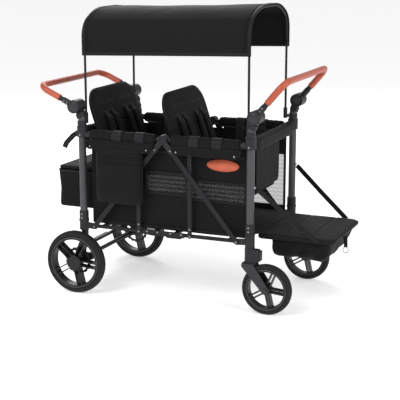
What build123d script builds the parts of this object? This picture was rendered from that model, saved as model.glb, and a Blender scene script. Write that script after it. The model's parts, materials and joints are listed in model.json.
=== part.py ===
from build123d import *
import math
import os

# Two-seat folding stroller wagon.  Millimetres, +X to the front (swivel wheels and foot flap),
# +Z up, -Y is the wagon's right side.  While it is built, X = 0 lies midway between the posts;
# at the end everything moves along X so that the origin is the middle of the footprint.

# Frame
POST_X = 381.0            # half the distance between the front and rear post axes
POST_Y = 268.0            # half the distance between the left and right post axes
POST_R = 16.0
POST_WALL = 1.6
POST_BEND_Z = 757.0       # where a post leans outwards to its handle hub
POST_BEND_R = 25.0
RAIL_Z = 692.0            # top rail axis
RAIL_R = 10.0
RAIL_WALL = 1.5
COLLAR_Z = 705.0
COLLAR_R = 22.0
COLLAR_H = 46.0
SLEEVE_R = 20.0
REAR_SLEEVE = (277.0, 359.0)
FRONT_SLEEVE = (277.0, 373.0)
PIN_X = 326.0             # lower linkage pins
PIN_Z = 295.0
APEX_Z = 695.0
APEX_R = 20.0
APEX_ARM = 62.0
BAR_W = 20.0              # width of the flat diagonal bars
UPRIGHT_X = 117.0
UPRIGHT_W = 18.0
UPRIGHT_TOP = 640.0
LOWER_RAIL_H = 14.0
CENTRE_PLATE_X = 95.0
CROSS_TUBE_R = 9.0
RIVET_R = 4.5
RIVET_H = 2.2

# Layers of the side linkage, as distances from the middle of the wagon
LOWER_RAIL_IN, LOWER_RAIL_OUT = 261.0, 271.0
UPRIGHT_T = 5.0
DIAGONAL_T = 6.0
DIAGONAL_IN = 277.0

# Clearances
FIT = 0.1                 # parts fixed together
RUN = 0.05                # radial clearance of a turning or sliding fit
SOFT_GAP = 0.4            # soft parts and plates that lie side by side

# Handles
HUB_X = 403.0
HUB_Z = 812.0
HUB_R = 28.5
HUB_INNER = 240.0         # inner face of the fixed half
HUB_SPLIT = 271.0
HUB_OUTER = 305.0
ARM_Y = 284.0
HANDLE_REACH = 190.0      # hub axis to the middle of the cross bar
HANDLE_TUBE_R = 11.0
HANDLE_WALL = 1.5
HANDLE_BEND_R = 52.0
GRIP_R = 13.5
GRIP_START = 78.0         # hub axis to the end of the grip, along an arm
STUB_R = 13.0
STUB_END = 60.0
REAR_HANDLE_TILT = 24.4   # degrees above the horizontal
FRONT_HANDLE_TILT = 49.6
BUTTON_R = 17.0
BUTTON_TRAVEL = 4.0

# Wheels
REAR_WHEEL_X = -405.0
REAR_WHEEL_Y = 304.0
REAR_WHEEL_R = 137.0
REAR_WHEEL_W = 46.0
FRONT_WHEEL_R = 106.0
FRONT_WHEEL_W = 39.0
CASTER_TRAIL = 76.0
AXLE_R = 9.5
LEG_Y = 262.0             # the rear legs stand inboard of the wheels
LEG_R = 15.0
SPINDLE_R = 6.0
BOLT_R = 5.0
CASTER_TOP = 276.0
CASTER_BOTTOM = 213.0
STEM_R = 8.0
FORK_T = 6.0
BRAKE_BAR_X = -441.0
BRAKE_BAR_Z = 168.0

# Tub, bags and seats
TUB_Y = 252.0             # outer face of the side fabric
TUB_T = 6.0
TUB_REAR = -351.0
TUB_FRONT = 362.0
FLOOR_Z = 305.0
FLOOR_T = 8.0
PAD_R = 23.0
PAD_X = (36.0, 338.0)
BAND_X = (-209.0, -105.0, 140.0, 241.0)
BAND_W = 46.0
END_PAD_H = 78.0
END_PAD_T = 36.0
SEAT_Y = 224.0
SEAT_T = 24.0
SEAT_LENGTH = 428.0
SEAT_RECLINE = 19.0
SEAT_BASE_TOP = 462.0
SEAT_BASE_T = 36.0
REAR_SEAT_X = (-266.0, -34.0)
FRONT_SEAT_X = (77.0, 320.0)
SEAT_HINGE_INSET = 10.0
BAG_X = (-531.0, -351.5)
BAG_Y = 228.0
BAG_Z = (357.0, 524.0)
BAG_WALL = 6.0
LID_T = 14.0
POCKET_X = (-302.0, -88.0)
POCKET_FOOT_Z = 412.0
POCKET_Y = (287.0, 325.0)
BADGE_SIZE = (146.0, 58.0)
BADGE_AT = (256.0, 602.0)
FRONT_POUCH_Y = 150.0
FRONT_POUCH_Z = (473.0, 700.0)
FRONT_POUCH_T = 16.0

# Foot flap
FLAP_HINGE_X = 384.0
FLAP_HINGE_Z = 308.0
FLAP_T = 24.0
FLAP_LENGTH = 340.0
FLAP_Y = 212.0
FLAP_POUCH_X = (440.0, 694.0)
FLAP_POUCH_Y = 186.0
FLAP_POUCH_DEPTH = 70.0
STRAP_TOP_Z = 520.0
STRAP_FOOT_X = 652.0
STRAP_W = 25.0
STRAP_T = 2.0

# Canopy
POLE_R = 5.0
POLE_Y = 232.0
REAR_POLE_X = -379.0
FRONT_POLE_X = 357.0
POLE_FOOT_Z = 738.0
CANOPY_EDGE_Z = 1034.0
CANOPY_TOP_Z = 1220.0     # hoop axis at the ridge, midway along
CANOPY_RISE = 12.0        # the front hoop stands this much higher than midway, the rear one lower
CANOPY_SHOULDER_Z = 1160.0
CANOPY_SHOULDER_Y = 118.0
CANOPY_T = 3.0
CANOPY_OVERHANG = 9.0


def block(x0, x1, y0, y1, z0, z1):
    """Box between two opposite corners."""
    return Pos((x0 + x1) / 2, (y0 + y1) / 2, (z0 + z1) / 2) * Box(x1 - x0, y1 - y0, z1 - z0)


def plate(sketch, y0, y1):
    """Outline drawn in X and Z, filled from y0 to y1."""
    return extrude(Plane.XZ.offset(-y0) * sketch, amount=y0 - y1)


def side_plate(sketch, inner, outer):
    """Plate on the right side, between two distances from the middle of the wagon."""
    return plate(sketch, -outer, -inner)


def disc(x, z, radius, y0, y1):
    """Round plate or pin along Y."""
    return plate(Pos(x, z) * Circle(radius), y0, y1)


def post(x, y, radius, z0, z1):
    """Round bar along Z."""
    return Pos(x, y, (z0 + z1) / 2) * Cylinder(radius, z1 - z0)


def rod(points, radius, bend=0.0):
    """Round bar: a circle carried along straight runs joined by tangent arcs."""
    path = FilletPolyline(*points, radius=bend) if bend else Line(*points)
    return sweep(Plane(origin=path @ 0, z_dir=path % 0) * Circle(radius), path=path)


def tube(points, radius, wall, bend=0.0):
    """Round tube along the same kind of path."""
    return rod(points, radius, bend) - rod(points, radius - wall, bend)


def bar_outline(start, end, width):
    """Outline of a flat bar with round ends, between two centres in X and Z."""
    dx, dz = end[0] - start[0], end[1] - start[1]
    middle = ((start[0] + end[0]) / 2, (start[1] + end[1]) / 2)
    slot = SlotCenterToCenter(math.hypot(dx, dz), width)
    return Pos(*middle) * Rot(0, 0, math.degrees(math.atan2(dz, dx))) * slot


def left(shape):
    """The same piece on the left side."""
    return mirror(shape, about=Plane.XZ)


def pair(shape):
    return [shape, left(shape)]


def one(shape):
    """A union as a single solid."""
    return shape.solids()[0]


def along(hub_sign, tilt, distance):
    """Point in X and Z on a handle's arm, at a distance from its hub axis."""
    angle = math.radians(tilt)
    return (hub_sign * (HUB_X + distance * math.cos(angle)), HUB_Z + distance * math.sin(angle))


def toward_hub(end, distance):
    """Point in X and Z on the leaning top of a post, at a distance below the hub axis."""
    dx, dz = HUB_X - POST_X, HUB_Z - POST_BEND_Z
    length = math.hypot(dx, dz)
    return (end * (HUB_X - dx * distance / length), HUB_Z - dz * distance / length)


# ---- Frame ----------------------------------------------------------------------------------

def make_posts(end):
    """Corner posts: upright tubes whose tops lean outwards to the handle hubs."""
    foot = (REAR_SLEEVE[0] + 20.0) if end < 0 else (CASTER_TOP - 12.0)
    x_top, z_top = toward_hub(end, 34.0)
    points = [(end * POST_X, -POST_Y, foot), (end * POST_X, -POST_Y, POST_BEND_Z), (x_top, -POST_Y, z_top)]
    return pair(tube(points, POST_R, POST_WALL, POST_BEND_R))


def make_collars():
    """Cast collars that hold the top rails, each with a socket facing along the side."""
    solids = []
    for end in (-1, 1):
        ring = post(end * POST_X, -POST_Y, COLLAR_R, COLLAR_Z - COLLAR_H / 2, COLLAR_Z + COLLAR_H / 2)
        lug = rod([(end * (POST_X - 12), -POST_Y, RAIL_Z), (end * (PAD_X[1] + 3), -POST_Y, RAIL_Z)], RAIL_R + 3)
        socket = rod([(end * (POST_X - POST_R - 4), -POST_Y, RAIL_Z), (end * PAD_X[1], -POST_Y, RAIL_Z)],
                     RAIL_R + FIT)
        bore = post(end * POST_X, -POST_Y, POST_R + FIT, COLLAR_Z - COLLAR_H, COLLAR_Z + COLLAR_H)
        solids += pair(one(ring + lug - socket - bore))
    return solids


def make_corner_brackets():
    """Sleeves round the feet of the posts, with an ear out to the linkage pin."""
    solids = []
    for end, (low, high) in ((-1, REAR_SLEEVE), (1, FRONT_SLEEVE)):
        sleeve = post(end * POST_X, -POST_Y, SLEEVE_R, low, high)
        ridge = post(end * POST_X, -POST_Y, SLEEVE_R + 2, high - 44, high - 38)
        ear = side_plate(bar_outline((end * PIN_X, PIN_Z), (end * (POST_X - 6), PIN_Z + 4), 26.0),
                         LOWER_RAIL_OUT + 0.3, DIAGONAL_IN - 0.3)
        bore = post(end * POST_X, -POST_Y, POST_R + FIT, low - 10, high + 10)
        solids += pair(one(sleeve + ridge + ear - bore))
    return solids


def make_top_rails():
    """Side rails, in two halves per side, and a cross rail at each end."""
    solids = []
    for end in (-1, 1):
        ends = [(end * (POST_X - POST_R - 5), -POST_Y, RAIL_Z), (end * (APEX_R - 6), -POST_Y, RAIL_Z)]
        solids += pair(tube(ends, RAIL_R, RAIL_WALL))
        reach = POST_Y - COLLAR_R - 0.3
        cross = [(end * POST_X, -reach, RAIL_Z), (end * POST_X, reach, RAIL_Z)]
        solids.append(tube(cross, RAIL_R, RAIL_WALL))
    return solids


def make_lower_side_rails():
    solids = []
    for end in (-1, 1):
        outline = bar_outline((end * PIN_X, PIN_Z), (end * 12.0, PIN_Z), LOWER_RAIL_H)
        solids += pair(side_plate(outline, LOWER_RAIL_IN, LOWER_RAIL_OUT))
    return solids


def make_centre_plates():
    """Long riveted plates that join the two halves of each lower rail."""
    outline = Pos(0, PIN_Z) * RectangleRounded(2 * CENTRE_PLATE_X, 22.0, 8.0)
    low = Pos(CENTRE_PLATE_X - 50, PIN_Z - 8) * RectangleRounded(70.0, 16.0, 6.0)
    return pair(one(side_plate(outline + low, LOWER_RAIL_OUT + 0.3, LOWER_RAIL_OUT + 0.3 + UPRIGHT_T)))


def apex_direction(end):
    dx, dz = end * PIN_X, PIN_Z - APEX_Z
    length = math.hypot(dx, dz)
    return dx / length, dz / length


def make_diagonals():
    """Flat bars from the lower pins up to the apex hub in the middle of each side."""
    solids = []
    for end in (-1, 1):
        ux, uz = apex_direction(end)
        start = (ux * (APEX_R + BAR_W / 2 + 1), APEX_Z + uz * (APEX_R + BAR_W / 2 + 1))
        outline = bar_outline(start, (end * PIN_X, PIN_Z), BAR_W)
        solids += pair(side_plate(outline, DIAGONAL_IN, DIAGONAL_IN + DIAGONAL_T))
    return solids


def make_apex_hubs():
    """Folding hubs: a thick disc on the ends of the top rails, with a cover arm over each diagonal."""
    face = DIAGONAL_IN + DIAGONAL_T + 0.3
    hub = disc(0, APEX_Z, APEX_R, -(face + 6), -(POST_Y - 12))
    for end in (-1, 1):
        ux, uz = apex_direction(end)
        outline = bar_outline((0, APEX_Z), (ux * APEX_ARM, APEX_Z + uz * APEX_ARM), BAR_W + 3)
        hub += side_plate(outline, face, face + 4)
    rail = rod([(-60, -POST_Y, RAIL_Z), (60, -POST_Y, RAIL_Z)], RAIL_R + FIT)
    core = disc(0, APEX_Z, 5.0, -(POST_Y + 12), -(POST_Y - 12))
    return pair(one(hub - rail + core))


def make_uprights():
    """Flat uprights that carry the lower rails from the skirt of the tub."""
    inner = LOWER_RAIL_OUT + 0.3
    solids = []
    for end in (-1, 1):
        outline = bar_outline((end * UPRIGHT_X, PIN_Z - 1), (end * UPRIGHT_X, UPRIGHT_TOP), UPRIGHT_W)
        solids += pair(side_plate(outline, inner, inner + UPRIGHT_T))
    return solids


def rivet(x, z, face):
    head = disc(x, z, RIVET_R, -(face + RIVET_H), -face)
    return fillet(head.edges().sort_by(Axis.Y)[0], 1.2)


def make_rivets():
    """Rivet heads of the side linkage, collars and sleeves, each on the face it clamps."""
    heads = []
    for end in (-1, 1):
        diagonal_face = DIAGONAL_IN + DIAGONAL_T
        upright_face = LOWER_RAIL_OUT + 0.3 + UPRIGHT_T
        heads.append(rivet(end * PIN_X, PIN_Z, diagonal_face))
        ux, uz = apex_direction(end)
        reach = APEX_ARM - 6
        heads.append(rivet(ux * reach, APEX_Z + uz * reach, diagonal_face + 4.3))
        heads += [rivet(end * UPRIGHT_X, PIN_Z + dz, upright_face) for dz in (-1.0, 30.0)]
        heads += [rivet(end * dx, PIN_Z + 4, upright_face) for dx in (30.0, 78.0)]
        heads += [rivet(end * POST_X, z, COLLAR_R + POST_Y + 0.2) for z in (COLLAR_Z - 14,)]
        high = REAR_SLEEVE[1] if end < 0 else FRONT_SLEEVE[1]
        heads += [rivet(end * POST_X, high - dz, SLEEVE_R + POST_Y + 0.2) for dz in (12.0, 29.0)]
    return [solid for head in heads for solid in pair(head)]


def make_cross_tubes():
    """Tubes under the floor, from side to side."""
    reach = LOWER_RAIL_IN - 0.3
    return [rod([(x, -reach, FLOOR_Z - SOFT_GAP - CROSS_TUBE_R), (x, reach, FLOOR_Z - SOFT_GAP - CROSS_TUBE_R)],
                CROSS_TUBE_R) for x in (-290.0, -45.0, 45.0, 290.0)]


def make_rear_legs():
    """Legs below the rear sleeves, with the axle boss and the brake housing."""
    low = REAR_SLEEVE[0]
    points = [(-POST_X, -LEG_Y, low - 0.4), (-POST_X, -LEG_Y, low - 44), (REAR_WHEEL_X + 4, -LEG_Y, REAR_WHEEL_R + 14)]
    leg = rod(points, LEG_R, 40.0) + post(-POST_X, -POST_Y, POST_R, low - 2.4, low + 19.5)
    boss = disc(REAR_WHEEL_X, REAR_WHEEL_R, 18.0, -(LEG_Y + LEG_R - 1), -(LEG_Y - LEG_R + 1))
    brake = block(REAR_WHEEL_X, REAR_WHEEL_X + 62, -(LEG_Y + 8), -(LEG_Y - 8), REAR_WHEEL_R + 4, REAR_WHEEL_R + 34)
    brake = fillet(brake.edges().filter_by(Axis.Y), 9.0)
    bore = disc(REAR_WHEEL_X, REAR_WHEEL_R, AXLE_R + FIT, -(POST_Y + 60), -(POST_Y - 60))
    return pair(one(leg + boss + brake - bore))


def make_rear_axle():
    """Cross axle: a thick middle with a thinner spindle for each wheel."""
    shoulder = REAR_WHEEL_Y - REAR_WHEEL_W / 2 - 2
    end = REAR_WHEEL_Y + REAR_WHEEL_W / 2 - 5
    middle = disc(REAR_WHEEL_X, REAR_WHEEL_R, AXLE_R, -shoulder, shoulder)
    return [one(middle + disc(REAR_WHEEL_X, REAR_WHEEL_R, SPINDLE_R, -end, end))]


def make_brake_bar():
    """Foot bar between the rear wheels, carried on the axle by two arms."""
    bar = disc(BRAKE_BAR_X, BRAKE_BAR_Z, 8.0, -235, 235)
    pedal = block(BRAKE_BAR_X - 17, BRAKE_BAR_X + 10, -70, 70, BRAKE_BAR_Z - 6, BRAKE_BAR_Z + 8)
    bar += fillet(pedal.edges().filter_by(Axis.Y), 5.0)
    for y in (-228, 208):
        arm = bar_outline((BRAKE_BAR_X, BRAKE_BAR_Z), (REAR_WHEEL_X, REAR_WHEEL_R), 18.0)
        bar += plate(arm, y, y + 20) + disc(REAR_WHEEL_X, REAR_WHEEL_R, 15.0, y, y + 20)
    return [one(bar - disc(REAR_WHEEL_X, REAR_WHEEL_R, AXLE_R + RUN, -240, 240))]


# ---- Handles --------------------------------------------------------------------------------

def make_hub_bases():
    """Fixed halves of the handle hubs, each with a neck and a sleeve on the top of its post."""
    solids = []
    for end in (-1, 1):
        base = disc(end * HUB_X, HUB_Z, HUB_R, -HUB_SPLIT, -HUB_INNER)
        neck = bar_outline(toward_hub(end, 6), toward_hub(end, 35), 30.0)
        low, high = toward_hub(end, 53), toward_hub(end, 32)
        sleeve = rod([(low[0], -POST_Y, low[1]), (high[0], -POST_Y, high[1])], POST_R + 3.5)
        tip = toward_hub(end, 34)
        bore = rod([(low[0] - end * 2, -POST_Y, low[1] - 5), (tip[0], -POST_Y, tip[1])], POST_R + FIT)
        pocket = disc(end * HUB_X, HUB_Z, BUTTON_R + 0.3, -(HUB_INNER + 14), -(HUB_INNER - 5))
        solids += pair(one(base + side_plate(neck, HUB_INNER + 6, HUB_SPLIT) + sleeve - bore - pocket))
    return solids


def make_button():
    """Round release button in the inner face of the right rear hub."""
    face = disc(-HUB_X, HUB_Z, BUTTON_R, -(HUB_INNER + 9.5), -(HUB_INNER - 4))
    return fillet(face.edges().sort_by(Axis.Y)[-1], 2.5)


def make_handle(end, tilt):
    """Tube, grip and turning hub halves of one handle."""
    def place(distance, y):
        x, z = along(end, tilt, distance)
        return (x, y, z)

    def loop(start):
        return [place(start, -ARM_Y), place(HANDLE_REACH, -ARM_Y), place(HANDLE_REACH, ARM_Y), place(start, ARM_Y)]

    bar = tube(loop(HUB_R + 8), HANDLE_TUBE_R, HANDLE_WALL, HANDLE_BEND_R)
    grip = rod(loop(GRIP_START), GRIP_R, HANDLE_BEND_R) - rod(loop(GRIP_START), HANDLE_TUBE_R + FIT, HANDLE_BEND_R)
    hub = disc(end * HUB_X, HUB_Z, HUB_R, -HUB_OUTER, -(HUB_SPLIT + 0.3))
    hub = fillet(hub.edges().sort_by(Axis.Y)[0], 3.0)
    hub += rod([place(8, -ARM_Y), place(STUB_END, -ARM_Y)], STUB_R)
    hub -= rod([place(HUB_R + 7, -ARM_Y), place(STUB_END + 5, -ARM_Y)], HANDLE_TUBE_R + FIT)
    hub -= disc(end * HUB_X, HUB_Z, HUB_R + 60, -(HUB_SPLIT + 0.3), -HUB_INNER)
    return one(bar), one(grip), pair(one(hub))


# ---- Wheels ---------------------------------------------------------------------------------

def make_wheel(x, y, radius, width, tyre_h, rim_h, hub_r, bore_r, ring):
    """Tyre and five-spoked rim about an axle along Y; each spoke is two deep ribs."""
    at = Pos(x, y, radius) * Rot(90, 0, 0)
    tyre = Cylinder(radius, width) - Cylinder(radius - tyre_h, width + 2)
    tyre = fillet(tyre.edges().group_by(SortBy.LENGTH)[-1], width * 0.28)
    outer = radius - tyre_h - FIT
    rim = Cylinder(outer, width - 6) - Cylinder(outer - rim_h, width)
    hub_w = width - 6
    rib = Box(outer - rim_h / 2 - hub_r / 2, 5.0, hub_w - 6)
    for turn in range(5):
        for side in (-1, 1):
            start = hub_r / 2 + (outer - rim_h / 2 - hub_r / 2) / 2
            rim += Rot(0, 0, 72 * turn - 5) * Pos(start, side * hub_r * 0.42, 0) * rib
    rim += Cylinder(hub_r, hub_w)
    if ring:
        inner = (1 if y < 0 else -1) * -(hub_w / 2 - 2.5)
        toothed = Cylinder(ring, 5) - Cylinder(ring - 12, 6)
        for turn in range(18):
            toothed -= Rot(0, 0, 20 * turn) * Pos(ring, 0, 0) * Cylinder(4.0, 6)
        rim += Pos(0, 0, inner) * toothed
    rim -= Cylinder(bore_r, width + 20)
    return one(at * tyre), one(at * rim)


def make_rear_wheel(side):
    y = side * REAR_WHEEL_Y
    tyre, rim = make_wheel(REAR_WHEEL_X, y, REAR_WHEEL_R, REAR_WHEEL_W, 24.0, 11.0, 26.0, SPINDLE_R + RUN, 60.0)
    face = REAR_WHEEL_Y + (REAR_WHEEL_W - 6) / 2 + FIT
    cap = disc(REAR_WHEEL_X, REAR_WHEEL_R, 32.0, -(face + 6), -face)
    cap = fillet(cap.edges().sort_by(Axis.Y)[0], 4.5)
    return tyre, [rim, cap if side < 0 else left(cap)]


def make_caster_housings():
    """Swivel housings at the feet of the front posts, each with a lock box at its front."""
    body = post(POST_X, -POST_Y, 21.0, CASTER_BOTTOM, CASTER_TOP)
    box = block(POST_X + 10, POST_X + 42, -POST_Y - 14, -POST_Y + 14, CASTER_BOTTOM + 5, CASTER_TOP - 6)
    body += fillet(box.edges().filter_by(Axis.Z), 3.0)
    body -= post(POST_X, -POST_Y, POST_R + FIT, CASTER_TOP - 12.2, CASTER_TOP + 5)
    body -= post(POST_X, -POST_Y, STEM_R + RUN, CASTER_BOTTOM - 5, CASTER_BOTTOM + 34)
    return pair(one(body))


def make_caster_lock():
    """Thin lever on the front of a lock box, hinged at its top."""
    x = POST_X + 42 + 0.3 + 4
    outline = bar_outline((x, CASTER_TOP - 14), (x, CASTER_BOTTOM + 14), 8.0)
    return plate(outline, -POST_Y - 11, -POST_Y + 11)


def make_fork():
    """Caster fork with its stem, and the wheel's bolt as a second solid."""
    axle = (POST_X + CASTER_TRAIL, FRONT_WHEEL_R)
    top = CASTER_BOTTOM - 0.4
    inner = FRONT_WHEEL_W / 2 + 3
    leg = make_hull((Pos(*axle) * Circle(16)).edges() + (Pos(POST_X + 16, top - 12) * Circle(12)).edges()
                    + (Pos(POST_X - 18, top - 9) * Circle(9)).edges())
    fork = plate(leg, -POST_Y - inner - FORK_T, -POST_Y - inner) + plate(leg, -POST_Y + inner, -POST_Y + inner + FORK_T)
    fork += block(POST_X - 27, POST_X + 20, -POST_Y - inner - 1, -POST_Y + inner + 1, top - 9, top)
    fork += post(POST_X, -POST_Y, STEM_R, top - 4, CASTER_BOTTOM + 30)
    reach = inner + FORK_T + 20
    fork -= disc(*axle, BOLT_R + FIT, -POST_Y - reach, -POST_Y + reach)
    bolt = disc(*axle, BOLT_R, -POST_Y - inner - FORK_T, -POST_Y + inner + FORK_T)
    for side in (-1, 1):
        face = -POST_Y + side * (inner + FORK_T)
        bolt += disc(*axle, 9.0, min(face, face + side * 4), max(face, face + side * 4))
    return [one(fork), one(bolt)]


# ---- Canopy ---------------------------------------------------------------------------------

def canopy_lift(x):
    """How far the canopy's section stands above its height midway between the hoops."""
    return CANOPY_RISE * (2 * x - REAR_POLE_X - FRONT_POLE_X) / (FRONT_POLE_X - REAR_POLE_X)


def hoop_points(x, foot):
    shoulder, top = CANOPY_SHOULDER_Z + canopy_lift(x), CANOPY_TOP_Z + canopy_lift(x)
    return [(x, -POLE_Y, foot), (x, -POLE_Y, shoulder), (x, -CANOPY_SHOULDER_Y, top),
            (x, CANOPY_SHOULDER_Y, top), (x, POLE_Y, shoulder), (x, POLE_Y, foot)]


HOOP_BENDS = (80.0, 260.0, 260.0, 80.0)


def hoop_path(x, foot):
    return FilletPolyline(*hoop_points(x, foot), radius=HOOP_BENDS)


def make_hoops():
    """Two bent rods whose straight ends drop into the pole sockets."""
    solids = []
    for x in (REAR_POLE_X, FRONT_POLE_X):
        path = hoop_path(x, POLE_FOOT_Z + 0.3)
        solids.append(one(sweep(Plane(origin=path @ 0, z_dir=path % 0) * Circle(POLE_R), path=path)))
    return solids


def make_canopy():
    """Cover: one sheet over both hoops, down to a straight hem on each side."""
    start = REAR_POLE_X - CANOPY_OVERHANG
    path = hoop_path(start, CANOPY_EDGE_Z - 60)
    arch = make_face(path.edges() + Line(path @ 1, path @ 0).edges())
    inner = offset(arch, amount=POLE_R + SOFT_GAP)
    outer = offset(arch, amount=POLE_R + SOFT_GAP + CANOPY_T)
    length = FRONT_POLE_X + CANOPY_OVERHANG - start
    slope = Vector(length, 0, canopy_lift(start + length) - canopy_lift(start))
    edge = CANOPY_EDGE_Z + canopy_lift(start)
    below = Plane(origin=(start, 0, edge - 60), x_dir=(0, 1, 0), z_dir=(1, 0, 0)) * Rectangle(2 * POLE_Y + 120, 120)
    shell = (extrude(outer, amount=slope.length, dir=slope) - extrude(inner, amount=slope.length, dir=slope)
             - extrude(below, amount=slope.length, dir=slope))
    return [one(shell)]


def make_sockets():
    """Clips on the posts that hold the feet of the canopy hoops."""
    solids = []
    for x_post, x_pole in ((-POST_X, REAR_POLE_X), (POST_X, FRONT_POLE_X)):
        low = COLLAR_Z + COLLAR_H / 2 + 4
        clip = post(x_post, -POST_Y, SLEEVE_R - 0.5, low, low + 18)
        clip += post(x_pole, -POLE_Y, POLE_R + 4, POLE_FOOT_Z - 3, POLE_FOOT_Z + 42)
        bridge = (Pos((x_post + x_pole) / 2, -(POST_Y + POLE_Y) / 2, low + 12)
                  * Rot(0, 0, math.degrees(math.atan2(POST_Y - POLE_Y, x_pole - x_post)))
                  * Box(math.hypot(x_pole - x_post, POST_Y - POLE_Y) - 10, 12, 12))
        clip += bridge
        clip -= post(x_post, -POST_Y, POST_R + FIT, low - 10, low + 30)
        clip -= post(x_pole, -POLE_Y, POLE_R + RUN, POLE_FOOT_Z, POLE_FOOT_Z + 50)
        solids += pair(one(clip))
    return solids


# ---- Tub, bags and seats --------------------------------------------------------------------

def make_rail_pads():
    """Foam rolls round the top rails, in two halves per side."""
    solids = []
    for end in (-1, 1):
        ends = [(end * PAD_X[0], -POST_Y, RAIL_Z), (end * PAD_X[1], -POST_Y, RAIL_Z)]
        solids += pair(one(rod(ends, PAD_R) - rod(ends, RAIL_R + SOFT_GAP)))
    return solids


def make_end_pads():
    """Padded boards round the cross rails."""
    reach = POST_Y - COLLAR_R - 1
    solids = []
    for end in (-1, 1):
        pad = block(end * POST_X - END_PAD_T / 2, end * POST_X + END_PAD_T / 2, -reach, reach,
                    RAIL_Z - END_PAD_H / 2, RAIL_Z + END_PAD_H / 2)
        pad = fillet(pad.edges().filter_by(Axis.Y), END_PAD_T * 0.4)
        solids.append(pad - disc(end * POST_X, RAIL_Z, RAIL_R + SOFT_GAP, -reach - 5, reach + 5))
    return solids


def make_tub_sides():
    """Side panels, from the floor up to the rail pads."""
    loop_r = PAD_R + SOFT_GAP + STRAP_T
    drop = math.sqrt(loop_r ** 2 - (POST_Y - TUB_Y) ** 2)
    panel = block(TUB_REAR, TUB_FRONT, -TUB_Y, -TUB_Y + TUB_T, FLOOR_Z, RAIL_Z - drop - SOFT_GAP)
    return pair(panel)


def make_tub_rear():
    inner = TUB_Y - TUB_T - SOFT_GAP
    top = RAIL_Z - END_PAD_H / 2 - 2
    return [block(TUB_REAR, TUB_REAR + TUB_T, -inner, inner, FLOOR_Z, top)]


def make_tub_floor():
    inner = TUB_Y - TUB_T - SOFT_GAP
    front = FLAP_HINGE_X - FLAP_T / 2 - SOFT_GAP
    return [block(TUB_REAR + TUB_T + SOFT_GAP, front, -inner, inner, FLOOR_Z, FLOOR_Z + FLOOR_T)]


def make_side_pockets():
    """Pockets that hang outside the linkage, below the rail pads."""
    loop_r = PAD_R + SOFT_GAP + STRAP_T
    top = RAIL_Z - math.sqrt(loop_r ** 2 - (POCKET_Y[0] - POST_Y) ** 2) - SOFT_GAP
    outline = Pos((POCKET_X[0] + POCKET_X[1]) / 2, (POCKET_FOOT_Z + top) / 2) * RectangleRounded(
        POCKET_X[1] - POCKET_X[0], top - POCKET_FOOT_Z, 24.0)
    return pair(side_plate(outline, *POCKET_Y))


def make_badge():
    outline = Pos(*BADGE_AT) * Ellipse(BADGE_SIZE[0] / 2, BADGE_SIZE[1] / 2)
    return [side_plate(outline, TUB_Y + SOFT_GAP, TUB_Y + SOFT_GAP + 2)]


def make_bag():
    """Storage bag behind the tub: five soft walls, open at the top under its lid."""
    bag = block(*BAG_X, -BAG_Y, BAG_Y, *BAG_Z)
    bag = fillet(bag.edges().filter_by(Axis.Z).sort_by(Axis.X)[:2], 22.0)
    room = block(BAG_X[0] + BAG_WALL, BAG_X[1] - BAG_WALL, -BAG_Y + BAG_WALL, BAG_Y - BAG_WALL,
                 BAG_Z[0] + BAG_WALL, BAG_Z[1] + 5)
    room = fillet(room.edges().filter_by(Axis.Z).sort_by(Axis.X)[:2], 16.0)
    return [bag - room]


LID_HINGE_X = BAG_X[1] - 74.0


def make_bag_lid():
    """Lid of the bag, hinged on a line behind the posts; the strip in front of it is sewn down."""
    z = BAG_Z[1] + SOFT_GAP
    lid = block(BAG_X[0], LID_HINGE_X, -BAG_Y, BAG_Y, z, z + LID_T)
    return [fillet(lid.edges().filter_by(Axis.Z).sort_by(Axis.X)[:2], 22.0)]


def make_bag_top():
    """Sewn strip between the lid's hinge and the tub."""
    z = BAG_Z[1] + SOFT_GAP
    return [block(LID_HINGE_X + 1, BAG_X[1], -BAG_Y, BAG_Y, z, z + LID_T)]


def make_front_pouch():
    """Flat pouch that hangs inside, behind the front cross pad."""
    back = POST_X - END_PAD_T / 2 - SOFT_GAP
    low, high = FRONT_POUCH_Z
    pouch = block(back - FRONT_POUCH_T, back, -FRONT_POUCH_Y, FRONT_POUCH_Y, low, high)
    return [fillet(pouch.edges().filter_by(Axis.X).sort_by(Axis.Z)[:2], 30.0)]


def make_seat_straps():
    """Webbing: a loop round a rail pad and a tail down to the seat base, eight in all."""
    loop_r = PAD_R + SOFT_GAP
    solids = []
    for x in BAND_X:
        ends = [(x - BAND_W / 2, -POST_Y, RAIL_Z), (x + BAND_W / 2, -POST_Y, RAIL_Z)]
        face = POST_Y - loop_r
        strap = rod(ends, loop_r + STRAP_T) + block(x - BAND_W / 2, x + BAND_W / 2, -face, -face + STRAP_T,
                                                    SEAT_BASE_TOP - SEAT_BASE_T + 6, RAIL_Z)
        bore = rod([(x - BAND_W, -POST_Y, RAIL_Z), (x + BAND_W, -POST_Y, RAIL_Z)], loop_r)
        solids += pair(one(strap - bore))
    return solids


def make_seat_base(span):
    """Padded seat base, hung between the webbing tails of both sides."""
    reach = POST_Y - PAD_R - SOFT_GAP - STRAP_T - SOFT_GAP
    base = block(*span, -reach, reach, SEAT_BASE_TOP - SEAT_BASE_T, SEAT_BASE_TOP)
    return [fillet(base.edges().filter_by(Axis.Y), 10.0)]


def seat_hinge(span):
    """Fold line of a seat back, in X and Z."""
    return (span[0] + SEAT_HINGE_INSET, SEAT_BASE_TOP + SOFT_GAP + SEAT_T / 2)


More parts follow.
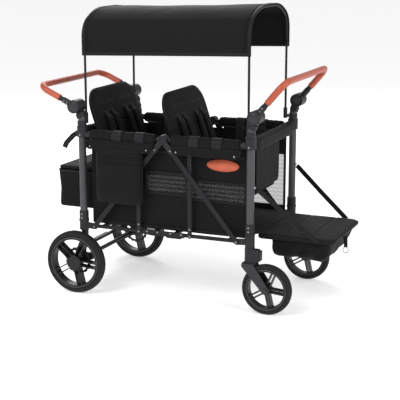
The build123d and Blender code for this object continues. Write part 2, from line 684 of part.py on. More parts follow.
def make_seat_back(span):
    """Padded back with round top corners; its lower edge is round about the fold line."""
    x, z = seat_hinge(span)
    back = Pos(0, 0, SEAT_LENGTH / 2) * Box(SEAT_T, 2 * SEAT_Y, SEAT_LENGTH)
    back = fillet(back.edges().filter_by(Axis.X).sort_by(Axis.Z)[-2:], 75.0)
    back += Rot(90, 0, 0) * Cylinder(SEAT_T / 2, 2 * SEAT_Y)
    return [one(Pos(x, 0, z) * Rot(0, -SEAT_RECLINE, 0) * back)]


# ---- Foot flap ------------------------------------------------------------------------------

def make_flap():
    """Padded board, hinged between the front posts at floor level."""
    board = block(FLAP_HINGE_X, FLAP_HINGE_X + FLAP_LENGTH, -FLAP_Y, FLAP_Y,
                  FLAP_HINGE_Z - FLAP_T / 2, FLAP_HINGE_Z + FLAP_T / 2)
    board = fillet(board.edges().filter_by(Axis.Z).sort_by(Axis.X)[-2:], 48.0)
    return [one(board + disc(FLAP_HINGE_X, FLAP_HINGE_Z, FLAP_T / 2, -FLAP_Y, FLAP_Y))]


def make_flap_pouch():
    """Shallow bag under the flap, narrower at the bottom."""
    top = FLAP_HINGE_Z - FLAP_T / 2 - SOFT_GAP
    middle = (FLAP_POUCH_X[0] + FLAP_POUCH_X[1]) / 2
    length = FLAP_POUCH_X[1] - FLAP_POUCH_X[0]
    mouth = Pos(middle, 0, top) * RectangleRounded(length, 2 * FLAP_POUCH_Y, 24.0)
    floor = Pos(middle - 14, 0, top - FLAP_POUCH_DEPTH) * RectangleRounded(length - 78, 2 * FLAP_POUCH_Y - 70, 24.0)
    return [one(loft([mouth, floor]))]


def make_flap_straps():
    """Webbing from the front posts to the flap's side edges, on edge."""
    start = Vector(POST_X + POST_R + 9, -POST_Y + 8, STRAP_TOP_Z)
    end = Vector(STRAP_FOOT_X, -(FLAP_Y + SOFT_GAP + STRAP_T / 2 + 0.2), FLAP_HINGE_Z)
    run = end - start
    line = Plane(origin=(start + end) * 0.5, x_dir=run, z_dir=run.cross(Vector(0, 1, 0)).cross(run))
    return pair(line * Box(run.length, STRAP_W, STRAP_T))


def build():
    """All sub-parts by name, each a list of solids, in the frame centred on the posts."""
    nodes = {
        "rear_posts": make_posts(-1),
        "front_posts": make_posts(1),
        "post_collars": make_collars(),
        "corner_brackets": make_corner_brackets(),
        "top_rails": make_top_rails(),
        "lower_side_rails": make_lower_side_rails(),
        "rail_centre_plates": make_centre_plates(),
        "side_diagonals": make_diagonals(),
        "apex_hubs": make_apex_hubs(),
        "side_uprights": make_uprights(),
        "frame_rivets": make_rivets(),
        "floor_cross_tubes": make_cross_tubes(),
        "rear_legs": make_rear_legs(),
        "rear_axle": make_rear_axle(),
        "brake_bar": make_brake_bar(),
        "handle_hub_bases": make_hub_bases(),
        "caster_housings": make_caster_housings(),
        "canopy_sockets": make_sockets(),
        "canopy_hoops": make_hoops(),
        "canopy_cover": make_canopy(),
        "side_rail_pads": make_rail_pads(),
        "end_rail_pads": make_end_pads(),
        "tub_sides": make_tub_sides(),
        "tub_rear_wall": make_tub_rear(),
        "tub_floor": make_tub_floor(),
        "side_pockets": make_side_pockets(),
        "side_badge": make_badge(),
        "rear_bag": make_bag() + make_bag_top(),
        "rear_bag_lid": make_bag_lid(),
        "front_pouch": make_front_pouch(),
        "seat_straps": make_seat_straps(),
        "rear_seat_base": make_seat_base(REAR_SEAT_X),
        "rear_seat_back": make_seat_back(REAR_SEAT_X),
        "front_seat_base": make_seat_base(FRONT_SEAT_X),
        "front_seat_back": make_seat_back(FRONT_SEAT_X),
        "flap_panel": make_flap(),
        "flap_pouch": make_flap_pouch(),
        "flap_straps": make_flap_straps(),
    }
    for name, end, tilt in (("rear", -1, REAR_HANDLE_TILT), ("front", 1, FRONT_HANDLE_TILT)):
        bar, grip, hubs = make_handle(end, tilt)
        nodes[name + "_handle_tube"] = [bar]
        nodes[name + "_handle_grip"] = [grip]
        nodes[name + "_handle_hubs"] = hubs
        button = make_button() if end < 0 else mirror(make_button(), about=Plane.YZ)
        nodes[name + "_hub_button_right"] = [button]
        nodes[name + "_hub_button_left"] = [left(button)]
    fork, lock = make_fork(), make_caster_lock()
    for name, side in (("right", -1), ("left", 1)):
        tyre, rim = make_rear_wheel(side)
        nodes["rear_tyre_" + name] = [tyre]
        nodes["rear_rim_" + name] = rim
        tyre, rim = make_wheel(POST_X + CASTER_TRAIL, side * POST_Y, FRONT_WHEEL_R, FRONT_WHEEL_W,
                               20.0, 9.0, 18.0, BOLT_R + RUN, 0)
        nodes["front_tyre_" + name] = [tyre]
        nodes["front_rim_" + name] = [rim]
        nodes["caster_fork_" + name] = fork if side < 0 else [left(solid) for solid in fork]
        nodes["caster_lock_" + name] = [lock if side < 0 else left(lock)]
    return nodes


NODES = build()
BOX = Compound([solid for group in NODES.values() for shape in group for solid in shape.solids()]).bounding_box()
CENTRE_X = (BOX.min.X + BOX.max.X) / 2


if __name__ == "__main__":
    os.makedirs("parts", exist_ok=True)
    for name, group in NODES.items():
        solids = [Pos(-CENTRE_X, 0, 0) * solid for shape in group for solid in shape.solids()]
        export_step(Compound(solids) if len(solids) > 1 else solids[0], os.path.join("parts", name + ".step"))
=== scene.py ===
import json
import math

import bmesh
import bpy
import numpy as np
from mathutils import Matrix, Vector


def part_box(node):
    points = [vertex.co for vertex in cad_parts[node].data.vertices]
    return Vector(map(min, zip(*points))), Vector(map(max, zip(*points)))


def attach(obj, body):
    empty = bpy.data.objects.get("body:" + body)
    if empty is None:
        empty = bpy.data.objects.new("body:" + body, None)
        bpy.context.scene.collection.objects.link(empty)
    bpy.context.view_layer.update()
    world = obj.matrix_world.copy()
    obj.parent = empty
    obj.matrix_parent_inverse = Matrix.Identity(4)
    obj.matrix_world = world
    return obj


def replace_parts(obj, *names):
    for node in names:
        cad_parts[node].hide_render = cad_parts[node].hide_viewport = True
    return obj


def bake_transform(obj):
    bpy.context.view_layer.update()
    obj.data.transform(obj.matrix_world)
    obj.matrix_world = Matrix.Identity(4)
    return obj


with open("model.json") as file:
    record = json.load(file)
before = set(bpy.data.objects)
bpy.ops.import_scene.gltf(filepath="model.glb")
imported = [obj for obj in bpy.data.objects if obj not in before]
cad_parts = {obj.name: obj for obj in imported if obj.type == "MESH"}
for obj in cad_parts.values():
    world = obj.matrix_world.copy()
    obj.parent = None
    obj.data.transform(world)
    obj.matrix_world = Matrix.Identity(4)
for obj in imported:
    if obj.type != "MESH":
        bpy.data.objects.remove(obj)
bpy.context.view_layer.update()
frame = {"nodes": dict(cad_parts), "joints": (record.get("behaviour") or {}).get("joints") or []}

# ---- Frame tubes ----------------------------------------------------------------------------
# Posts, rails and linkage bars are mild steel tube and strip, powder coated in dark grey satin.
# The coat flows a little before it cures, which leaves a faint orange peel in the highlights.


def linear(hex_colour):
    """sRGB hex to linear RGBA: each channel c becomes ((c + 0.055) / 1.055) ^ 2.4."""
    c = np.array([int(hex_colour[i:i + 2], 16) for i in (1, 3, 5)]) / 255
    return (*np.where(c > 0.04045, ((c + 0.055) / 1.055) ** 2.4, c / 12.92).tolist(), 1.0)


def add(tree, kind, inputs=None, **settings):
    """Adds one shader node; an input is a value or another node's output socket."""
    item = tree.nodes.new("ShaderNode" + kind)
    for key, value in settings.items():
        setattr(item, key, value)
    for key, value in (inputs or {}).items():
        if isinstance(value, bpy.types.NodeSocket):
            tree.links.new(value, item.inputs[key])
        else:
            item.inputs[key].default_value = value
    return item


def new_material(name, surface):
    """An empty material whose Principled shader holds the values that are the same all over."""
    made = bpy.data.materials.new(name)
    made.use_nodes = True
    made.node_tree.nodes.clear()
    shader = add(made.node_tree, "BsdfPrincipled", surface)
    output = add(made.node_tree, "OutputMaterial", {"Surface": shader.outputs["BSDF"]})
    output.is_active_output = True
    return made, made.node_tree, shader


def mottle(tree, shader, dark, light, patch_mm, rough, bump_mm, bump_height_mm):
    """Colour and roughness drift between two values by a soft noise; a finer noise is the bump."""
    place = add(tree, "TexCoord").outputs["Object"]
    patch = add(tree, "TexNoise", {"Vector": place, "Scale": 1000 / patch_mm, "Detail": 3.0})
    tone = add(tree, "Mix", {"Factor": patch.outputs["Fac"], "A": linear(dark), "B": linear(light)},
               data_type="RGBA")
    tree.links.new(tone.outputs["Result"], shader.inputs["Base Color"])
    gloss = add(tree, "MapRange", {"Value": patch.outputs["Fac"], "To Min": rough[0],
                                   "To Max": rough[1]})
    tree.links.new(gloss.outputs["Result"], shader.inputs["Roughness"])
    fine = add(tree, "TexNoise", {"Vector": place, "Scale": 1000 / bump_mm, "Detail": 2.0})
    bump = add(tree, "Bump", {"Height": fine.outputs["Fac"], "Strength": 1.0,
                              "Distance": bump_height_mm / 1000})
    tree.links.new(bump.outputs["Normal"], shader.inputs["Normal"])
    return place, bump


def mottled(name, surface, *speckle):
    """A finished material that is mottled all over."""
    made, tree, shader = new_material(name, surface)
    mottle(tree, shader, *speckle)
    return made


def paint(material, slot, *nodes):
    """Gives CAD nodes a finished material."""
    for name in nodes:
        thing = frame["nodes"][name]
        thing.data.materials.clear()
        thing.data.materials.append(material)
        thing.data.polygons.foreach_set("material_index", np.zeros(len(thing.data.polygons), int))


# The posts are the lightest metal on the wagon, so edges and the sides of the tubes stay readable.
powder_coat = mottled("powder_coated_steel", {"Specular IOR Level": 0.32, "Coat Weight": 0.05},
                      "#39393b", "#464649", 90.0, (0.34, 0.42), 1.6, 0.03)
paint(powder_coat, "frame_metal", "rear_posts", "front_posts")
# The linkage takes a flatter, nearly black coat of the same powder.
dark_coat = mottled("powder_coated_linkage", {"Specular IOR Level": 0.18},
                    "#18181a", "#222225", 90.0, (0.34, 0.44), 1.6, 0.03)
paint(dark_coat, "frame_metal", "side_diagonals", "side_uprights", "lower_side_rails",
      "rail_centre_plates", "top_rails", "floor_cross_tubes")

# The canopy hoops and the handle bars are thinner steel, coated black.
black_coat = mottled("black_coated_steel", {"Specular IOR Level": 0.25},
                     "#141416", "#1d1d1f", 90.0, (0.38, 0.46), 1.6, 0.02)
paint(black_coat, "frame_metal", "canopy_hoops", "rear_handle_tube", "front_handle_tube",
      "brake_bar", "rear_axle")


# ---- Moulded fittings -----------------------------------------------------------------------
# Collars, sleeves, hubs, legs and caster parts are glass-filled nylon, moulded with a fine spark
# texture.  It looks dull and slightly greyer where hands and shoes rub it.

nylon = mottled("moulded_nylon", {"IOR": 1.53, "Specular IOR Level": 0.2},
                "#1f1f21", "#2a2a2d", 60.0, (0.40, 0.52), 0.9, 0.05)
paint(nylon, "black_plastic", "post_collars", "corner_brackets", "apex_hubs", "handle_hub_bases",
      "rear_handle_hubs", "front_handle_hubs", "caster_housings", "canopy_sockets", "rear_legs",
      "caster_lock_right", "caster_lock_left")
# The forks are moulded smoother and a shade lighter than the fittings above them.
fork_coat = mottled("caster_fork_nylon", {"IOR": 1.53, "Specular IOR Level": 0.22},
                    "#2a2a2c", "#353538", 80.0, (0.36, 0.48), 1.2, 0.03)
paint(fork_coat, "black_plastic", "caster_fork_right", "caster_fork_left")
# Buttons and hub caps are polished ABS, with a tighter highlight than the nylon round them.
button_plastic = mottled("button_abs", {"IOR": 1.53, "Specular IOR Level": 0.25},
                         "#29292c", "#333336", 40.0, (0.26, 0.34), 1.5, 0.02)
paint(button_plastic, "button_plastic", "rear_hub_button_right", "rear_hub_button_left",
      "front_hub_button_right", "front_hub_button_left")
# Rivets are zinc plated: pale, slightly blotched metal.
zinc = mottled("zinc_plated_rivet", {"Metallic": 1.0}, "#6d6e70", "#909193", 5.0, (0.26, 0.4), 1.0, 0.02)
paint(zinc, "steel", "frame_rivets")

joints = {joint["name"]: joint for joint in frame["joints"]}
SIDES = ((-1, "right"), (1, "left"))


def box_of(name):
    """Least and greatest corner of a CAD node."""
    return [np.array(corner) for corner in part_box(name)]


def grid_faces(rows, columns, wrap_rows=False, wrap_columns=False):
    """Quads between neighbouring points of a grid, row by row."""
    i = np.arange(rows if wrap_rows else rows - 1)[:, None]
    j = np.arange(columns if wrap_columns else columns - 1)[None, :]
    after_i, after_j = (i + 1) % rows, (j + 1) % columns
    corners = [i * columns + j, after_i * columns + j, after_i * columns + after_j,
               i * columns + after_j]
    return np.stack(np.broadcast_arrays(*corners), -1).reshape(-1, 4)


def new_piece(name, points, faces, material, slot, body, closed=True):
    """A mesh piece from arrays; on a closed one, doubles are merged and faces point outwards."""
    mesh = bpy.data.meshes.new(name)
    mesh.from_pydata(np.asarray(points, float).reshape(-1, 3).tolist(), [], [list(f) for f in faces])
    if closed:
        work = bmesh.new()
        work.from_mesh(mesh)
        bmesh.ops.remove_doubles(work, verts=work.verts, dist=1e-6)
        bmesh.ops.recalc_face_normals(work, faces=work.faces)
        work.to_mesh(mesh)
        work.free()
    mesh.polygons.foreach_set("use_smooth", np.full(len(mesh.polygons), True))
    mesh.materials.append(material)
    thing = bpy.data.objects.new(name, mesh)
    bpy.context.scene.collection.objects.link(thing)
    if body:
        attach(thing, body)
    return thing


def joined(*shapes):
    """Several (points, faces) shapes as one."""
    points, faces, count = [], [], 0
    for shape_points, shape_faces in shapes:
        flat = np.asarray(shape_points, float).reshape(-1, 3)
        points.append(flat)
        faces += [tuple(int(k) + count for k in face) for face in shape_faces]
        count += len(flat)
    return np.concatenate(points), faces


def revolved(profile, centre, axis, steps=48):
    """A profile (distance along the axis, radius) turned about the axis; closed into a ring."""
    axis = np.asarray(axis, float)
    side = np.cross(axis, (0.0, 0.0, 1.0) if abs(axis[2]) < 0.9 else (1.0, 0.0, 0.0))
    side /= np.linalg.norm(side)
    other = np.cross(axis, side)
    turn = np.linspace(0, 2 * np.pi, steps, endpoint=False)[:, None, None]
    along, radius = np.asarray(profile, float).T[:, None, :, None]
    points = np.asarray(centre) + along * axis
    points = points + radius * (np.cos(turn) * side + np.sin(turn) * other)
    return points, grid_faces(steps, len(profile), wrap_rows=True, wrap_columns=True)


pads_low, pads_high = box_of("side_rail_pads")
MID_X = (pads_low[0] + pads_high[0]) / 2      # midway between the front and rear posts

# The folding hub in the middle of each side has raised rings moulded into its outer face.
APEX_R, RING_RADII = 0.020, (0.0055, 0.0115, 0.0175)
apex_high = box_of("apex_hubs")[1]
for sign, side in SIDES:
    face = (MID_X, sign * float(apex_high[1]), float(apex_high[2] - APEX_R))
    rings = [revolved([(-0.001, r - 0.0014), (0.0014, r - 0.0008), (0.0014, r + 0.0008),
                       (-0.001, r + 0.0014)], face, (0, sign, 0)) for r in RING_RADII]
    new_piece(f"apex_hub_rings_{side}", *joined(*rings), nylon, "black_plastic", "chassis")

# Each handle hub has a raised rim and a slightly domed cap pressed into its outer face.
for end in ("rear", "front"):
    hub = np.array(joints[f"{end}_handle_tilt"]["pos_m"])
    for sign, side in SIDES:
        face = hub + np.array((0, sign * float(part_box(f"{end}_handle_hubs")[1].y), 0))
        rim = revolved([(-0.002, 0.0225), (0.0012, 0.0232), (0.0012, 0.0250), (-0.002, 0.0258)],
                       face, (0, sign, 0))
        cap = revolved([(-0.002, 0.0), (0.0016, 0.0), (0.0012, 0.010), (0.0002, 0.019),
                        (-0.002, 0.0215)], face, (0, sign, 0))
        new_piece(f"{end}_hub_rim_{side}", *joined(rim, cap), button_plastic, "black_plastic",
                  f"{end}_handle")


# ---- Wheels ---------------------------------------------------------------------------------
# Foamed polyurethane tyres on five-spoked nylon rims.  Each tyre has its moulded section: rounded
# shoulders, shallow tread grooves, and a lacquered line on the rim beside the bead.

tyre_rubber = mottled("foamed_tyre", {"Specular IOR Level": 0.2},
                      "#181819", "#222223", 35.0, (0.60, 0.76), 1.1, 0.08)
rim_nylon = mottled("rim_nylon", {"IOR": 1.53, "Specular IOR Level": 0.25},
                    "#131314", "#1c1c1e", 50.0, (0.34, 0.46), 1.0, 0.03)
paint(rim_nylon, "rim_plastic", "rear_rim_right", "rear_rim_left", "front_rim_right", "front_rim_left")
bright_line = mottled("rim_lacquer_line", {"Metallic": 0.6},
                      "#5a5a5c", "#77777a", 40.0, (0.28, 0.36), 2.0, 0.01)


def tyre_section(radius, width, depth, groove=0.0011):
    """Across the tread: a flattened ellipse; five grooves cut by a raised cosine; a flat bore."""
    t = np.linspace(-1, 1, 61)
    crown = radius - 0.42 * depth * np.abs(t) ** 3.2
    crown -= groove * np.clip(np.cos(2 * np.pi * 2.5 * t), 0, 1) ** 6 * (np.abs(t) < 0.72)
    outside = np.column_stack((t * width / 2, crown))
    wall = np.array([[width * 0.47, radius - 0.72 * depth], [width * 0.40, radius - depth + 0.0003]])
    mirrored = wall[::-1] * (-1, 1)
    return np.concatenate((outside, wall, mirrored))


TYRE_DEPTHS = {"rear": 0.024, "front": 0.020}
WHEELS = [(f"{end}_wheel_{side}", f"{end}_tyre_{side}", depth)
          for end, depth in TYRE_DEPTHS.items() for _, side in SIDES]
for body, node, depth in WHEELS:
    low, high = box_of(node)
    centre = (low + high) / 2
    radius, width = (high[2] - low[2]) / 2, high[1] - low[1]
    outer = 1 if centre[1] > 0 else -1
    tyre = revolved(tyre_section(radius, width, depth), centre, (0, 1, 0), steps=96)
    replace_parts(new_piece(node + "_foam", *tyre, tyre_rubber, "tyre", body), node)
    line_r = radius - depth - 0.0016
    lines = [revolved([(0, line_r - 0.0011), (0.0013, line_r), (0, line_r + 0.0011), (-0.0013, line_r)],
                      centre + (0, face * (width / 2 - 0.0030), 0), (0, 1, 0), steps=96)
             for face in (outer, -outer)]
    new_piece(node + "_rim_line", *joined(*lines), bright_line, "rim_plastic", body)


# ---- Handle grips ---------------------------------------------------------------------------
# The U of each handle is sleeved in terracotta polyurethane leather with a fine pebble grain,
# sewn shut on the underside, and rolled over at each end.

leather, tree, shader = new_material("terracotta_pu_leather", {"Sheen Weight": 0.12,
                                                               "Specular IOR Level": 0.42})
place, bump = mottle(tree, shader, "#9d3f28", "#bb543a", 55.0, (0.38, 0.50), 3.0, 0.15)
grain = add(tree, "TexVoronoi", {"Vector": place, "Scale": 1000 / 2.4}, feature="F1")
pebble = add(tree, "Bump", {"Height": grain.outputs["Distance"], "Normal": bump.outputs["Normal"],
                            "Strength": 0.5, "Distance": 0.0004})
tree.links.new(pebble.outputs["Normal"], shader.inputs["Normal"])
paint(leather, "tan_leather", "rear_handle_grip", "front_handle_grip")
stitch_thread = mottled("waxed_thread", {}, "#8e3a22", "#a54a30", 20.0, (0.55, 0.65), 1.0, 0.05)


def rounded_path(corners, radii, steps=10):
    """Straight runs joined by tangent arcs, each centred radius / sin(half angle) from its corner."""
    corners = np.asarray(corners, float)
    parts = [corners[:1]]
    for k, radius in enumerate(radii, start=1):
        back, ahead = corners[k - 1] - corners[k], corners[k + 1] - corners[k]
        back, ahead = back / np.linalg.norm(back), ahead / np.linalg.norm(ahead)
        half = math.acos(float(np.clip(back @ ahead, -1, 1))) / 2
        centre = corners[k] + (back + ahead) / np.linalg.norm(back + ahead) * radius / math.sin(half)
        first = corners[k] + back * radius / math.tan(half) - centre
        normal = np.cross(first, corners[k] + ahead * radius / math.tan(half) - centre)
        second = np.cross(normal / np.linalg.norm(normal), first)
        turn = np.linspace(0, math.pi - 2 * half, steps + 1)[:, None]
        parts.append(centre + np.cos(turn) * first + np.sin(turn) * second)
    parts.append(corners[-1:])
    return np.concatenate(parts)


def evenly(path, count, closed=False):
    """The same line with its points spread evenly by length."""
    path = np.concatenate((path, path[:1])) if closed else path
    length = np.concatenate(([0], np.cumsum(np.linalg.norm(np.diff(path, axis=0), axis=1))))
    where = np.linspace(0, length[-1], count, endpoint=not closed)
    return np.column_stack([np.interp(where, length, path[:, k]) for k in range(path.shape[1])])


def lofted(rings):
    """Closed outlines stacked one after another, with a cap at each end."""
    rings = np.asarray(rings)
    rows, count = rings.shape[:2]
    faces = grid_faces(rows, count, wrap_columns=True).tolist()
    last = (rows - 1) * count
    return rings, faces + [list(range(count))[::-1], [last + k for k in range(count)]]


def carried(profile, path, up, closed=False):
    """A closed profile carried along a path, its first axis across the path, its second towards up."""
    path = np.asarray(path, float)
    ahead = np.roll(path, -1, 0) - np.roll(path, 1, 0) if closed else np.gradient(path, axis=0)
    ahead /= np.linalg.norm(ahead, axis=1)[:, None]
    across = np.cross(ahead, np.broadcast_to(up, path.shape))
    across /= np.linalg.norm(across, axis=1)[:, None]
    over = np.cross(across, ahead)
    profile = np.asarray(profile, float)
    points = path[:, None] + profile[None, :, :1] * across[:, None]
    points = points + profile[None, :, 1:] * over[:, None]
    if not closed:
        return lofted(points)
    return points, grid_faces(*points.shape[:2], wrap_rows=True, wrap_columns=True).tolist()


def circle(radius, steps):
    """A round profile."""
    turn = np.linspace(0, 2 * np.pi, steps, endpoint=False)
    return np.column_stack((radius * np.cos(turn), radius * np.sin(turn)))


def strap_profile(width, thickness, ribs=0, rib=0.0004):
    """A flat band with round edges; ribs are a cosine across its width on both faces."""
    count = max(6, 4 * ribs)
    s = np.linspace(-1, 1, count + 1)
    edge = thickness / 2 * np.sqrt(np.clip(1 - np.abs(s) ** 8, 0, 1))
    edge = edge + rib * np.cos(np.pi * ribs * (s + 1)) * bool(ribs)
    edge[[0, -1]] = thickness * 0.18
    top = np.column_stack((s * width / 2, edge))
    return np.concatenate((top, top[::-1] * (1, -1)))


HANDLE_REACH, GRIP_START, HANDLE_BEND, GRIP_R = 0.190, 0.078, 0.052, 0.0135
ARM_Y = 0.284
TILTS = {"rear": (-1, math.radians(24.4)), "front": (1, math.radians(49.6))}
for end, (sign, tilt) in TILTS.items():
    hub = np.array(joints[f"{end}_handle_tilt"]["pos_m"])
    arm = np.array((sign * math.cos(tilt), 0, math.sin(tilt)))
    under = np.array((sign * math.sin(tilt), 0, -math.cos(tilt)))
    corners = [hub + arm * d + (0, y, 0) for d, y in ((GRIP_START, -ARM_Y), (HANDLE_REACH, -ARM_Y),
                                                      (HANDLE_REACH, ARM_Y), (GRIP_START, ARM_Y))]
    line = evenly(rounded_path(corners, (HANDLE_BEND, HANDLE_BEND)), 100)
    seam = carried(circle(0.0012, 6), line + under * (GRIP_R - 0.0004), under)
    new_piece(f"{end}_grip_seam", *seam, stitch_thread, "tan_leather", f"{end}_handle")
    cuffs = [revolved([(-0.0028, GRIP_R - 0.0008), (-0.0014, GRIP_R + 0.0009), (0.0014, GRIP_R + 0.0009),
                       (0.0028, GRIP_R - 0.0008)], hub + arm * (GRIP_START + 0.004) + (0, y, 0), arm, 32)
             for y in (-ARM_Y, ARM_Y)]
    new_piece(f"{end}_grip_cuffs", *joined(*cuffs), leather, "tan_leather", f"{end}_handle")
    studs = [revolved([(0, 0), (0.0018, 0), (0.0014, 0.0030), (0, 0.0042)],
                      hub + arm * d + (0, y * 0.0128 + math.copysign(ARM_Y, y), 0), (0, y, 0), 16)
             for d in (0.036, 0.052) for y in (-1, 1)]
    new_piece(f"{end}_stub_rivets", *joined(*studs), zinc, "steel", f"{end}_handle")


# ---- Canopy ---------------------------------------------------------------------------------
# One sheet of coated oxford polyester stretched over the two hoops, a little slack between them,
# hemmed all round and held by a fabric loop round each pole.

def weave(tree, place, pitch_mm, height_mm, before):
    """Plain weave: three crossed sine waves, so that any upright or level face shows two of them."""
    height = None
    for axis in ("X", "Y", "Z"):
        wave = add(tree, "TexWave", {"Vector": place, "Scale": 1000 / pitch_mm / 20 * math.pi,
                                     "Distortion": 0.4, "Detail": 1.0}, bands_direction=axis)
        height = wave.outputs["Fac"] if height is None else add(
            tree, "Math", {0: height, 1: wave.outputs["Fac"]}, operation="ADD").outputs["Value"]
    return add(tree, "Bump", {"Height": height, "Strength": 0.5, "Distance": height_mm / 1000,
                              "Normal": before})


THREAD_MM, THREAD_HEIGHT_MM = 0.9, 0.12       # coarser than the real 0.4 mm, so that it shows


def fabric(name, dark, light, rough=(0.66, 0.80), wrinkle_mm=38.0, wrinkle_height_mm=1.6):
    """Woven cloth: drifting tone, soft wrinkles, and plain-woven threads."""
    made, tree, shader = new_material(name, {"Sheen Weight": 0.03, "Sheen Roughness": 0.5,
                                             "Specular IOR Level": 0.15})
    place, bump = mottle(tree, shader, dark, light, 70.0, rough, wrinkle_mm, wrinkle_height_mm)
    threads = weave(tree, place, THREAD_MM, THREAD_HEIGHT_MM, bump.outputs["Normal"])
    tree.links.new(threads.outputs["Normal"], shader.inputs["Normal"])
    return made


# Black oxford polyester takes most light; the canopy's is drawn smoother, the seats' is more
# creased, and the binding tape has a slight shine that picks out every edge.
oxford = fabric("oxford_polyester", "#09090a", "#101011")
canopy_cloth = fabric("canopy_polyester", "#0b0b0c", "#131315", wrinkle_mm=70.0, wrinkle_height_mm=2.0)
binding = fabric("bias_binding", "#111113", "#1b1b1d", rough=(0.5, 0.62), wrinkle_mm=9.0,
                 wrinkle_height_mm=0.3)
seat_cloth = fabric("seat_polyester", "#0c0c0d", "#141416", wrinkle_mm=26.0, wrinkle_height_mm=1.2)


def at(x_mm, y_mm, z_mm):
    """A point given in millimetres from midway between the posts, on the floor."""
    return np.array((x_mm / 1000 + MID_X, y_mm / 1000, z_mm / 1000))


def placed(points_mm):
    """An array of such points, brought to metres and to the shared frame."""
    return points_mm / 1000 + (MID_X, 0, 0)


def sewn(name, shape, material, body="chassis"):
    """A closed piece of cloth, piping or binding."""
    return new_piece(name, *shape, material, "oxford_fabric", body)


def grid_piece(name, points, material, body, keep=None):
    """A one-layer cloth from a rows x columns x 3 grid; keep says which of its cells are cloth."""
    faces = grid_faces(*points.shape[:2])
    if keep is not None:
        faces = faces[keep.reshape(-1)]
    return new_piece(name, points, faces, material, "oxford_fabric", body, closed=False)


CANOPY_EDGE, CANOPY_SHOULDER, CANOPY_TOP, CANOPY_RISE = 1034.5, 1160.0, 1220.0, 12.0
POLE_Y, POLE_X = 232.0, (-379.0, 357.0)
hoop_corners = [(0, -POLE_Y, CANOPY_EDGE), (0, -POLE_Y, CANOPY_SHOULDER), (0, -118, CANOPY_TOP),
                (0, 118, CANOPY_TOP), (0, POLE_Y, CANOPY_SHOULDER), (0, POLE_Y, CANOPY_EDGE)]
arch = evenly(rounded_path(np.array(hoop_corners) / 1000, (0.080, 0.260, 0.260, 0.080)), 91)
slope = np.gradient(arch, axis=0)
slope /= np.linalg.norm(slope, axis=1)[:, None]
outward = np.column_stack((np.zeros(len(arch)), -slope[:, 2], slope[:, 1]))
CANOPY_X = np.array((-387.0, 365.5)) / 1000 + MID_X


def canopy_points(across):
    """The arch carried up the slope from hoop to hoop, less a parabola of sag, plus a sine ripple."""
    s = np.linspace(-1, 1, across)
    stations = (CANOPY_X[0] + CANOPY_X[1]) / 2 + s * (CANOPY_X[1] - CANOPY_X[0]) / 2
    sag = 0.0045 * (1 - s ** 2)
    along = np.linspace(0, 1, len(arch))[:, None]
    ripple = 0.0012 * np.sin(9 * s[None, :] + 14 * along) * (1 - s[None, :] ** 8)
    offset = 0.0074 - sag[None, :] + ripple * 0.6
    points = arch[:, None] + outward[:, None] * offset[:, :, None]
    points[:, :, 0] = stations[None, :]
    middle, half_span = MID_X + sum(POLE_X) / 2000, (POLE_X[1] - POLE_X[0]) / 2000
    points[:, :, 2] += CANOPY_RISE / 1000 * (stations[None, :] - middle) / half_span
    return points


cover_points = canopy_points(61)
canopy = grid_piece("canopy_sheet", cover_points, canopy_cloth, "canopy")
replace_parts(canopy, "canopy_cover")
hem_parts = []
for k, x_in in ((0, 1), (-1, -1)):
    edge = cover_points[:, k]
    hem_parts.append(carried(strap_profile(0.0030, 0.0150), edge + (0.0055 * x_in, 0, 0), (1, 0, 0)))
    for shift in (0.020, 0.026):
        line = edge + (shift * x_in, 0, 0) + outward * 0.0004
        hem_parts.append(carried(circle(0.0007, 5), line, (1, 0, 0)))
for row in (0, -1):
    hem_parts.append(carried(strap_profile(0.0028, 0.0140), cover_points[row] + (0, 0, 0.0065), (0, 0, 1)))
canopy_hem = sewn("canopy_hem", joined(*hem_parts), binding, "canopy")
loops = []
for x in POLE_X:
    for y in (-POLE_Y, POLE_Y):
        loops.append(revolved([(-0.012, 0.0056), (-0.012, 0.0068), (0.012, 0.0068), (0.012, 0.0056)],
                              at(x, y, 1052 + math.copysign(CANOPY_RISE, x)), (0, 0, 1), 24))
sewn("canopy_pole_loops", joined(*loops), binding, "canopy")


# ---- Rail pads, skirts and webbing ----------------------------------------------------------
# Foam tubes sleeved in oxford run round the top rails; a piped skirt hangs from each one and
# snaps to the tub.  Black ribbed webbing goes round them at eight places and carries the seats.

RAIL_Z, RAIL_Y, RAIL_PAD_R = 692.0, 268.0, 22.8
BANDS, BAND_W, BAND_T = (-209.0, -105.0, 140.0, 241.0), 0.044, 0.0022
# Polypropylene webbing shines a little along its ribs; press studs are bright nickel.
webbing = mottled("ribbed_webbing", {"Sheen Weight": 0.02, "Specular IOR Level": 0.15},
                  "#18181a", "#242427", 30.0, (0.52, 0.64), 1.4, 0.12)
snap_metal = mottled("nickel_snap", {"Metallic": 1.0}, "#8c8c8e", "#a5a5a7", 4.0, (0.22, 0.32), 1.0, 0.01)


def roll(x_from, x_to, y, z, radius):
    """A foam roll along X: ends rounded by an exponential, bands drawn in by Gaussians, sine wrinkles."""
    x = np.linspace(x_from, x_to, 90)[:, None]
    turn = np.linspace(0, 2 * np.pi, 40, endpoint=False)[None, :]
    near_end = np.minimum(x - min(x_from, x_to), max(x_from, x_to) - x)
    r = radius - 4.0 * np.exp(-near_end / 4.0)
    for band in BANDS:
        r = r - 1.6 * np.exp(-((x - band) / 27) ** 6) + 0.5 * np.exp(-((np.abs(x - band) - 34) / 7) ** 2)
    r = r + 0.45 * np.sin(0.21 * x + 3 * turn) * np.sin(0.053 * x + 1.3 * np.sin(turn))
    points = np.stack(np.broadcast_arrays(x, y + r * np.cos(turn), z + r * np.sin(turn)), -1)
    return lofted(placed(points))


